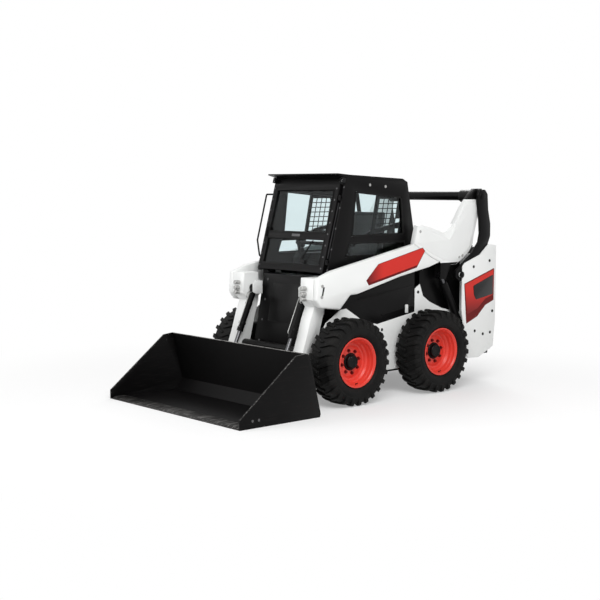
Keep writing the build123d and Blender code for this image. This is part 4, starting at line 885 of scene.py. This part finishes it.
def blocks(name, place, boxes, material, body, bevel=0.0):
    """Piece of blocks, each between two values across, up and out, on the surface that `place` knows."""
    bm = bmesh.new()
    for x0, x1, up0, up1, out0, out1 in boxes:
        v = [bm.verts.new(place(x, up, out)) for out in (out0, out1) for up in (up0, up1) for x in (x0, x1)]
        for quad in ((0, 2, 3, 1), (4, 5, 7, 6), (0, 1, 5, 4), (2, 6, 7, 3), (0, 4, 6, 2), (1, 3, 7, 5)):
            bm.faces.new([v[k] for k in quad])
    return piece(name, bm, material, body, bevel)


def frame_boxes(x0, x1, h0, h1, width, *depth):
    """Four bars round an opening."""
    left, right = x0 - width, x1 + width
    return [(left, right, h0 - width, h0, *depth), (left, right, h1, h1 + width, *depth),
            (left, x0, h0, h1, *depth), (x1, right, h0, h1, *depth)]


# %% Door seals and latch plate
PANE, LAP = 0.395, 0.007        # half width of the panes, and how far a seal laps over one
seals = [bar for h0, h1 in ((0.069, 0.315), (0.371, 0.7745))
         for bar in frame_boxes(-PANE + LAP, PANE - LAP, h0 + LAP, h1 - LAP, 0.013, 0.022, 0.0365)]
blocks("door_seals", front, seals, seal, "door", bevel=0.002)
blocks("latch_plate", front, [(-0.055, 0.055, 0.332, 0.356, 0.032, 0.036)], grey_paint, "door", bevel=0.001)
print("seal bars", len(seals))

# %% Wiper
arm_line = [front(0.170, 0.118, 0.046), front(0.190, 0.165, 0.050), front(0.268, 0.298, 0.047)]
blade_line = [front(0.120, 0.112, 0.030), front(0.160, 0.170, 0.030), front(0.238, 0.300, 0.030)]
tube("wiper_arm", [arm_line], 0.0045, black_paint, "door")
tube("wiper_blade", [blade_line], 0.0040, seal, "door")
tube("wiper_links", [[front(0.228, 0.232, 0.049), front(0.200, 0.237, 0.031)],
                     [front(0.268, 0.298, 0.047), front(0.236, 0.297, 0.031)]], 0.0035, black_paint, "door")
blocks("wiper_motor", front, [(0.148, 0.192, 0.080, 0.122, 0.020, 0.040)], plastic, "door", bevel=0.006)
print("wiper blade length", round((blade_line[-1] - blade_line[0]).length, 3))

# %% Screws of the door's two edges and the cab's posts
door_screws = [(front(x, 0.05 + 0.105 * k, 0.033), OUTWARD) for k in range(8) for x in (-0.436, 0.424)]
bolts("door_screws", door_screws, grey_paint, "door", across=0.010, height=0.004)
post_screws = [(front(x, 0.045 + 0.19 * k, 0.0), OUTWARD) for k in range(5) for x in (-0.471, 0.477)]
bolts("post_screws", post_screws, grey_paint, "cab", across=0.011, height=0.004)
print("door screws", len(door_screws), "post screws", len(post_screws))

# %% Hinge-post trim
blocks("hinge_strip", front, [(0.4555, 0.4615, 0.150, 0.660, -0.001, 0.012)], dull_steel, "cab", bevel=0.001)
print("door height", round((front(0, 0.8315, 0) - front(0, 0.012, 0)).length, 3))

# %% [markdown]
# ## Cab sides and rear
# Each side window has a clear front part, a leaning post and, behind the post, a steel mesh guard that
# keeps the arms away from the operator. The guard is in the engineering model already, so what is left
# here is the rubber that holds the panes: a flat frame that follows the window's outline. Small bolts hold
# the roof.

# %% Window rubber
def border(name, outline, width, x0, x1, material, body):
    """Flat rubber frame that follows an outline, on both sides."""
    middle = sum((Vector(p) for p in outline), Vector((0, 0))) / len(outline)
    inner = []
    for before, here, after in corners(outline):
        first, second = (here - before).normalized(), (after - here).normalized()
        normal_a, normal_b = Vector((-first.y, first.x)), Vector((-second.y, second.x))
        if normal_a.dot(middle - here) < 0:
            normal_a, normal_b = -normal_a, -normal_b
        corner = (normal_a + normal_b).normalized()
        inner.append(here + corner * width / max(0.3, corner.dot(normal_a)))
    bm = bmesh.new()
    for side in (1, -1):
        loops = [[bm.verts.new(at(side * x, *p)) for p in line]
                 for x in (x0, x1) for line in (outline, inner)]
        for one, two in ((0, 2), (2, 3), (3, 1), (1, 0)):
            bridge(bm, loops[one], loops[two])
    return piece(name, bm, material, body, bevel=0.0015)


upper_window = rounded([(0.224, 1.475), (0.272, 1.880), (0.868, 1.828), (0.905, 1.475)], 0.030)
lower_window = rounded([(0.145, 1.290), (0.196, 1.420), (0.919, 1.420), (0.935, 1.290)], 0.030)
border("upper_window_rubber", upper_window, 0.014, CAB_HALF - 0.012, CAB_HALF + 0.0025, seal, "cab")
border("lower_window_rubber", lower_window, 0.014, CAB_HALF - 0.012, CAB_HALF + 0.0025, seal, "cab")
print("window outlines", len(upper_window), "and", len(lower_window), "points")

# %% Rear window rubber
low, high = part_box("rear_window")
WALL_TOP, WALL_LOW = (0.945, 1.968), (1.060, 1.385)


def rear(x, z, out):
    """Point on the cab's leaning rear wall."""
    slope = (WALL_LOW[0] - WALL_TOP[0]) / (WALL_TOP[1] - WALL_LOW[1])
    return at(x, WALL_TOP[0] + (WALL_TOP[1] - z) * slope + out, z)


blocks("rear_window_trim", rear, [(*bar, -0.022, 0.001) for bar in (
    (-0.380, -0.366, 1.46, 1.88), (0.366, 0.380, 1.46, 1.88),
    (-0.380, 0.380, 1.46, 1.474), (-0.380, 0.380, 1.866, 1.88))], seal, "cab", bevel=0.0015)
print("rear window from", round(low.z, 3), "to", round(high.z, 3), "m up")

# %% Roof bolts
roof_bolts = both_sides(CAB_HALF, ((0.455, 1.938), (0.655, 1.924)))
bolts("roof_bolts", roof_bolts, zinc, "cab", across=0.016, height=0.005)
print("cab half width", round(CAB_HALF, 3))

# %% [markdown]
# ## Controls
# Two joysticks stand on the consoles beside the seat. A stick is a rubber boot with rings, a thin shaft
# and a hand-shaped grip with a flat top for its buttons. Boot and grip are round, so they are lathe
# shapes stood upright: the profile is spun about the stick's own line.

# %% Joysticks
def upright_turn(bm, profile, foot, way, steps=20):
    """Add a round shape: (radius, height) profile spun about the line from `foot` along `way`."""
    way = way.normalized()
    across = way.orthogonal().normalized()
    other = way.cross(across)
    turns = [across * cos(a) + other * sin(a) for a in (2 * pi * k / steps for k in range(steps))]
    rings = [[bm.verts.new(foot + way * height + turn * radius) for turn in turns]
             for radius, height in profile]
    for one, two in zip(rings, rings[1:]):
        bridge(bm, one, two)
    bm.faces.new(rings[0][::-1])
    bm.faces.new(rings[-1])


low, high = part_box("controls")
STICK_X = high.x - 0.055
boot = [(0.042, 0.0), (0.044, 0.006), (0.036, 0.014), (0.039, 0.020), (0.030, 0.028), (0.033, 0.034),
        (0.024, 0.042), (0.026, 0.048), (0.016, 0.058)]
grip = [(0.012, 0.060), (0.020, 0.070), (0.024, 0.095), (0.021, 0.125), (0.024, 0.150), (0.029, 0.172),
        (0.027, 0.186), (0.014, 0.191)]
for side, mark in ((1, "left"), (-1, "right")):
    foot = at(side * STICK_X, 0.322, 1.286)
    bm = bmesh.new()
    upright_turn(bm, boot, foot, Vector((0, sin(lean) * 0.4, 1)))
    piece("stick_boot_" + mark, bm, seal, "cab", angle=50)
    bm = bmesh.new()
    upright_turn(bm, grip, foot, Vector((0, sin(lean), cos(lean))))
    piece("stick_grip_" + mark, bm, plastic, "cab", angle=50)
print("sticks at x", round(STICK_X, 3))

# %% [markdown]
# ## Arm knees, couplers and pins
# In front, each arm bends down into a leg. Next to the knee sit the quick couplers, where a tool's hoses
# plug in: short steel barrels with a collar and a dust cap. The rear links and the rear panels show the
# heads of their pins. Couplers and pin heads are round and few, so they are spun.

# %% Pin heads
def pin_heads(name, x, behind, z, radius, body):
    """Pin heads on both sides, each with a chamfer and a raised ring on the outer face at x."""
    profile = [(radius + 0.010, 0.0), (radius + 0.010, 0.004), (radius + 0.007, 0.007),
               (radius - 0.001, 0.007), (radius - 0.002, 0.012), (radius - 0.006, 0.014), (0.004, 0.014)]
    bm = bmesh.new()
    for side in (1, -1):
        upright_turn(bm, profile, at(side * x, behind, z), Vector((side, 0, 0)), 28)
    piece(name, bm, black_paint, body, angle=40)


PANEL_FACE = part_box("rear_panels")[1].x
LINK_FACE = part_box("rear_links")[1].x
pin_heads("link_pins", LINK_FACE - 0.002, 1.810, 1.832, 0.030, "rear_link")
pin_heads("frame_pins", PANEL_FACE - 0.001, 1.500, 1.080, 0.022, "chassis")
print("panel face", round(PANEL_FACE, 3), "link face", round(LINK_FACE, 3))

# %% Arm bolts
arm_bolts = both_sides(ARM_FACE + 0.003, (
    (1.282, 1.300), (1.521, 1.250), (1.571, 1.262), (0.978, 1.505), (-0.255, 1.060), (-0.262, 0.965)))
bolts("arm_bolts", arm_bolts, zinc, "arms", height=0.008)
print("arm bolts", len(arm_bolts))

# %% Couplers beside the left knee
bm = bmesh.new()
coupler = [(0.0180, 0.0), (0.0180, 0.034), (0.0205, 0.036), (0.0205, 0.045), (0.0182, 0.047), (0.0182, 0.060),
           (0.0208, 0.062), (0.0208, 0.074), (0.0175, 0.0775), (0.0110, 0.0775), (0.0100, 0.0765)]
for z in (0.942, 0.985, 1.035):
    for side in (1, -1):
        upright_turn(bm, coupler, at(side * 0.470, -0.290, z), Vector((0, -1, 0)), 18)
piece("couplers", bm, zinc, "arms", angle=40)
print("coupler length", coupler[-2][1])

# %% Knee slots: flat black patches of painted shade
# Each slot is a thin black sheet on the knee's face: its dark is painted shade for the slot's recess.
slab("knee_slot_shade", rounded([(-0.245, 1.050), (-0.225, 1.052), (-0.250, 0.955), (-0.268, 0.952)], 0.008),
     ARM_FACE - 0.004, ARM_FACE + 0.0006, seal, "arms")
print("arm face", round(ARM_FACE, 3))

# %% [markdown]
# ## Hydraulic lines
# The tilt cylinders carry their oil in plated steel pipes clipped along the barrel, one short to the near
# end and one long to the far end. A steel pipe is stiff, so it is part of the barrel and moves with it.

# %% Steel pipes on the tilt barrels
TILT_BASE, TILT_EYE = (-0.217, 0.985), (-0.500, 0.345)
way = Vector((TILT_EYE[0] - TILT_BASE[0], TILT_EYE[1] - TILT_BASE[1])).normalized()
off = Vector((way.y, -way.x))
if off.x > 0:
    off = -off
TILT_X = 0.365


def beside(x, along, out):
    """Point beside the tilt cylinder: along it from its base pin and out in front of it."""
    spot = Vector(TILT_BASE) + way * along + off * out
    return at(x, spot.x, spot.y)


runs = []
for side in (1, -1):
    for shift, far in ((-0.014, 0.400), (0.014, 0.110)):
        x = side * (TILT_X + shift)
        runs.append([beside(x, 0.055, 0.026), beside(x, 0.062, 0.041), beside(x, 0.075, 0.044),
                     beside(x, far - 0.02, 0.044), beside(x, far - 0.006, 0.041), beside(x, far, 0.026)])
tube("tilt_pipes", runs, 0.0042, zinc, "tilt_barrels", sides=2)
bm = bmesh.new()
for side in (1, -1):
    for along in (0.15, 0.34):
        upright_turn(bm, [(0.0315, 0.0), (0.0335, 0.002), (0.0335, 0.020), (0.0315, 0.022)],
                     beside(side * TILT_X, along, 0.0), Vector((0, way.x, way.y)), 28)
piece("pipe_clips", bm, black_paint, "tilt_barrels", angle=40)
print("pipes", len(runs))

# %% [markdown]
# ## Bucket
# The bucket is heavy plate: a top lip that the loads wear bare, side edges with worn paint and a wear edge
# held by a row of bolts. The shell is the engineering part; these pieces dress its edges.

# %% Lip strip, side bars and bolts
BUCKET_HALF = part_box("bucket_shell")[1].x
slope = (-0.735 + 0.600) / 0.550


def back_plate(z, behind):
    """Side-view point on the bucket's back."""
    return (-0.600 + slope * z + behind, z)


lip = [back_plate(z, behind) for z, behind in (
    (0.5475, -0.012), (0.5475, 0.002), (0.5525, 0.002), (0.5525, -0.012))]
slab("lip_wear", lip, -BUCKET_HALF + 0.012, BUCKET_HALF - 0.012, worn_steel, "bucket",
     bevel=0.001, both=False)
edge_line = [(-1.428, 0.0785), (-1.428, 0.0815), (-0.842, 0.5405), (-0.735, 0.5525), (-0.735, 0.5495),
             (-0.840, 0.5375)]
slab("side_wear", edge_line, BUCKET_HALF - 0.0125, BUCKET_HALF + 0.0005, edge_steel, "bucket")
edge_bolts = [(at(-0.855 + 0.285 * k, -1.318, 0.0181), Vector((0, 0, 1))) for k in range(7)]
bolts("edge_bolts", edge_bolts, edge_steel, "bucket", across=0.026)
side_bolts = both_sides(BUCKET_HALF, ((-1.300, 0.062), (-1.235, 0.062)))
bolts("side_bolts", side_bolts, grey_paint, "bucket", across=0.014, height=0.005)
print("bucket half width", round(BUCKET_HALF, 3))

# %% [markdown]
# ## Rear panels, tail and engine hood
# The big side panels at the back carry the machine's red flash with an empty black badge and a few dark
# bolts. The tailgate's louvred grille is in the engineering model, so it only needs its black paint and a
# black sheet of painted shade behind its louvres, in place of the dark openings. The hood has louvres on top
# for the engine's heat. A louvre is one bent slat, and the row tree repeats it.

# %% Red flash and empty badge
flash = [(1.536, 0.990), (1.980, 1.124), (1.977, 0.808), (1.853, 0.765), (1.731, 0.660), (1.572, 0.600)]
flash_high = [(1.546, 0.983), (1.970, 1.110), (1.967, 0.862), (1.852, 0.830), (1.740, 0.742), (1.585, 0.690)]
badge = [(1.668, 0.964), (1.962, 1.060), (1.962, 0.868), (1.709, 0.828), (1.678, 0.877)]
for name, outline, radius, height, material, bevel in (
        ("flash_low", flash, 0.010, 0.0007, dark_red_paint, 0.0),
        ("flash_high", flash_high, 0.010, 0.0012, flash_red, 0.0),
        ("badge", badge, 0.012, 0.004, badge_black, 0.001)):
    slab(name, rounded(outline, radius), PANEL_FACE - 0.001, PANEL_FACE + height, material, "chassis", bevel)
panel_bolts = both_sides(PANEL_FACE, (
    (1.908, 1.200), (1.672, 1.150), (1.821, 0.482), (1.700, 0.520), (1.930, 0.490), (1.960, 0.700),
    (1.590, 0.420)))
bolts("panel_bolts", panel_bolts, black_paint, "chassis")
print("panel bolts", len(panel_bolts))

# %% Louvres on the hood
HOOD_TOP, HOOD_FRONT = 1.346, 1.110
slat = [(-0.003, -0.001), (0.002, 0.0045), (0.024, 0.0150), (0.029, 0.0165), (0.034, 0.0145),
        (0.030, 0.0085), (0.0295, -0.001)]
for x0, x1, name in ((-0.402, -0.028, "right"), (0.028, 0.402, "left")):
    bm = bmesh.new()
    prism(bm, [(HOOD_FRONT + 0.192 + y, HOOD_TOP + z) for y, z in slat], x0, x1)
    row("hood_louvres_" + name, bm, 9, (0, 0.048, 0), black_paint, "hood")
    print("louvres", name, "width", round(x1 - x0, 3))

# %% Colours of the tailgate's grille and handle, and painted shade behind the louvres
GATE_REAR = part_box("gate_lamps")[0].y - FRONT_AXLE - 0.0003


def in_grille(spot):
    """True for what stands on the gate inside the grille's frame or is the handle."""
    frame_area = abs(spot.x) < 0.4015 and 0.6385 < spot.z < 1.1415
    handle_area = 0.430 < spot.x < 0.490 and 0.815 < spot.z < 0.965
    return spot.y - FRONT_AXLE > GATE_REAR + 0.0004 and (frame_area or handle_area)


repaint(finished["tailgate"], black_paint, in_grille)
# The black sheet flush with the gate inside the grille is painted shade for the dark openings between the
# louvres.
slab("grille_shade_sheet", rectangle(GATE_REAR - 0.001, GATE_REAR + 0.0006, 0.659, 1.121), -0.381, 0.381,
     seal, "tailgate", both=False)
slab("gate_handle_grip", rectangle(GATE_REAR + 0.008, GATE_REAR + 0.015, 0.845, 0.935), 0.448, 0.472,
     plastic, "tailgate", bevel=0.003, both=False)
print("tailgate face at", round(GATE_REAR, 3))

# %% Work lamps at the roof's corners
low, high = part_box("work_lamps")
LAMP_X = high.x - 0.015


def lamp_blocks(name, half, *rest, material, bevel=0.0):
    """One block on each lamp, as wide as twice `half`."""
    boxes = [(side * LAMP_X - half, side * LAMP_X + half, *rest) for side in (1, -1)]
    blocks(name, front, boxes, material, "cab", bevel)


lamp_blocks("lamp_lenses", 0.012, 0.842, 0.886, 0.0395, 0.0425, material=lens, bevel=0.002)
lamp_blocks("lamp_reflectors", 0.011, 0.844, 0.884, 0.0395, 0.0402, material=reflector)
print("lamps at x", round(LAMP_X, 3))

# %% [markdown]
# ## Lower side and front plate
# Under the arm the black skirt has a pale latch, and bolts hold the frame's sides. The front plate is left
# bare but for its two rows of bolts. These are shallow shapes on flat plate.

# %% Skirt latch and frame bolts
SKIRT_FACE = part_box("side_skirts")[1].x
slab("latch_cover", rounded(rectangle(0.865, 0.902, 0.743, 0.822), 0.008),
     SKIRT_FACE - 0.001, SKIRT_FACE + 0.008, white_paint, "chassis", bevel=0.002)
FRAME_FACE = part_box("frame_sides")[1].x
frame_bolts = both_sides(FRAME_FACE, (
    (0.560, 0.610), (0.560, 0.400), (1.040, 0.930), (-0.185, 0.560), (0.470, 0.300)))
bolts("frame_bolts", frame_bolts, black_paint, "chassis")
print("frame face", round(FRAME_FACE, 3), "skirt face", round(SKIRT_FACE, 3))

# %% Front plate
PLATE_TOP, PLATE_LOW = (-0.100, 1.118), (-0.235, 0.430)
plate_way = Vector((PLATE_LOW[0] - PLATE_TOP[0], PLATE_LOW[1] - PLATE_TOP[1]))
plate_out = Vector((plate_way.y, -plate_way.x)).normalized()
if plate_out.x > 0:
    plate_out = -plate_out


def on_plate(share, out):
    """Side-view point on the front plate: a share of the way down and a distance out."""
    spot = Vector(PLATE_TOP) + plate_way * share + plate_out * out
    return (spot.x, spot.y)


plate_bolts = [(at(x, *on_plate(s, 0.0)), Vector((0, plate_out.x, plate_out.y)))
               for x in (-0.29, 0.29) for s in (0.08, 0.35, 0.62, 0.9)]
bolts("plate_bolts", plate_bolts, grey_paint, "chassis", across=0.014, height=0.005)
print("plate length", round(plate_way.length, 3))

# %% [markdown]
# ## Floor, light and camera
# The machine stands on a plain pale floor. Near it the floor is a real matt surface that takes its shadow.
# Further out it turns by degrees into the same plain white as the world, so no horizon shows. Only rays
# that are seen, straight or in gloss and glass, meet that white, because a Light Path node sorts them, and
# so it adds no light to the machine. Three large soft lamps light it at a plain level.

# %% World
WHITE = (1, 1, 1)
WORLD_LIGHT = 0.42


def seen_rays(tree):
    """Factor that is 1 for rays whose end is seen: straight, in gloss or through glass."""
    rays = add_node(tree, "ShaderNodeLightPath").outputs
    sharp = maths(tree, "ADD", rays["Is Camera Ray"], rays["Is Glossy Ray"], clamp=True)
    return maths(tree, "ADD", sharp, rays["Is Transmission Ray"], clamp=True)


world = bpy.data.worlds.new("studio")
bpy.context.scene.world = world
world.use_nodes = True
tree = world.node_tree
tree.nodes.clear()
plain, white = (add_node(tree, "ShaderNodeBackground", {"Color": WHITE, "Strength": strength})
                for strength in (WORLD_LIGHT, 1.0))
choice = add_node(tree, "ShaderNodeMixShader", {"Fac": seen_rays(tree), 1: plain, 2: white})
add_node(tree, "ShaderNodeOutputWorld", {"Surface": choice})
print("world light", WORLD_LIGHT)

# %% Floor
FLOOR_HALF, FLOOR_FADE, FLOOR_GLOW = 60, (1.4, 4.4), (0.30, 1.0)
floor_paint, tree, shader = start_material("studio floor")
plug(tree, shader, {"Base Color": (0.90, 0.90, 0.90), "Roughness": 0.9, "Specular IOR Level": 0.1})
reach = add_node(tree, "ShaderNodeVectorMath", {0: own_place(tree)}, operation="LENGTH").outputs["Value"]
whiter = map_range(tree, reach, *FLOOR_FADE, *FLOOR_GLOW, kind="SMOOTHSTEP")
blend = add_node(tree, "ShaderNodeMixShader", {
    "Fac": maths(tree, "MULTIPLY", whiter, seen_rays(tree)), 1: shader,
    2: add_node(tree, "ShaderNodeEmission", {"Color": WHITE, "Strength": 1.0})})
plug(tree, tree.nodes["Material Output"], {"Surface": blend})
floor_mesh = bpy.data.meshes.new("floor")
floor_mesh.from_pydata([(FLOOR_HALF * x, FLOOR_HALF * y, 0) for x, y in ((-1, -1), (1, -1), (1, 1), (-1, 1))],
                       [], [(0, 1, 2, 3)])
floor = add_object("floor", floor_mesh)
floor_mesh.materials.append(floor_paint)
print("floor is all white from", FLOOR_FADE[1], "m out")

# %% Lamps
def lamp(name, place, target, size, power):
    """Square soft light aimed at a point."""
    data = bpy.data.lights.new(name, "AREA")
    data.size = size
    data.energy = power
    obj = add_object(name, data)
    obj.location = place
    obj.rotation_euler = (Vector(target) - Vector(place)).to_track_quat("-Z", "Y").to_euler()


lamp("key", (5.5, -3.5, 6.5), (0, 0, 0.8), 5.0, 520)
lamp("fill", (-3.0, -8.0, 4.0), (0, -0.5, 0.8), 5.0, 220)
lamp("back", (-3.5, 5.5, 5.5), (0, 0, 1.2), 4.0, 240)
print("lamps", len(bpy.data.lights))

# %% Camera
camera_data = bpy.data.cameras.new("camera")
camera_data.lens = 70.09
camera_data.sensor_width = 36
camera = add_object("camera", camera_data)
camera.location = (8.110, -7.357, 1.907)
yaw, pitch = 0.8538, -0.0953
look = Vector((-sin(yaw) * cos(pitch), cos(yaw) * cos(pitch), sin(pitch)))
camera.rotation_euler = look.to_track_quat("-Z", "Y").to_euler()
bpy.context.scene.camera = camera
bpy.context.scene.view_settings.view_transform = "Standard"
print("camera distance", round(camera.location.length, 2))
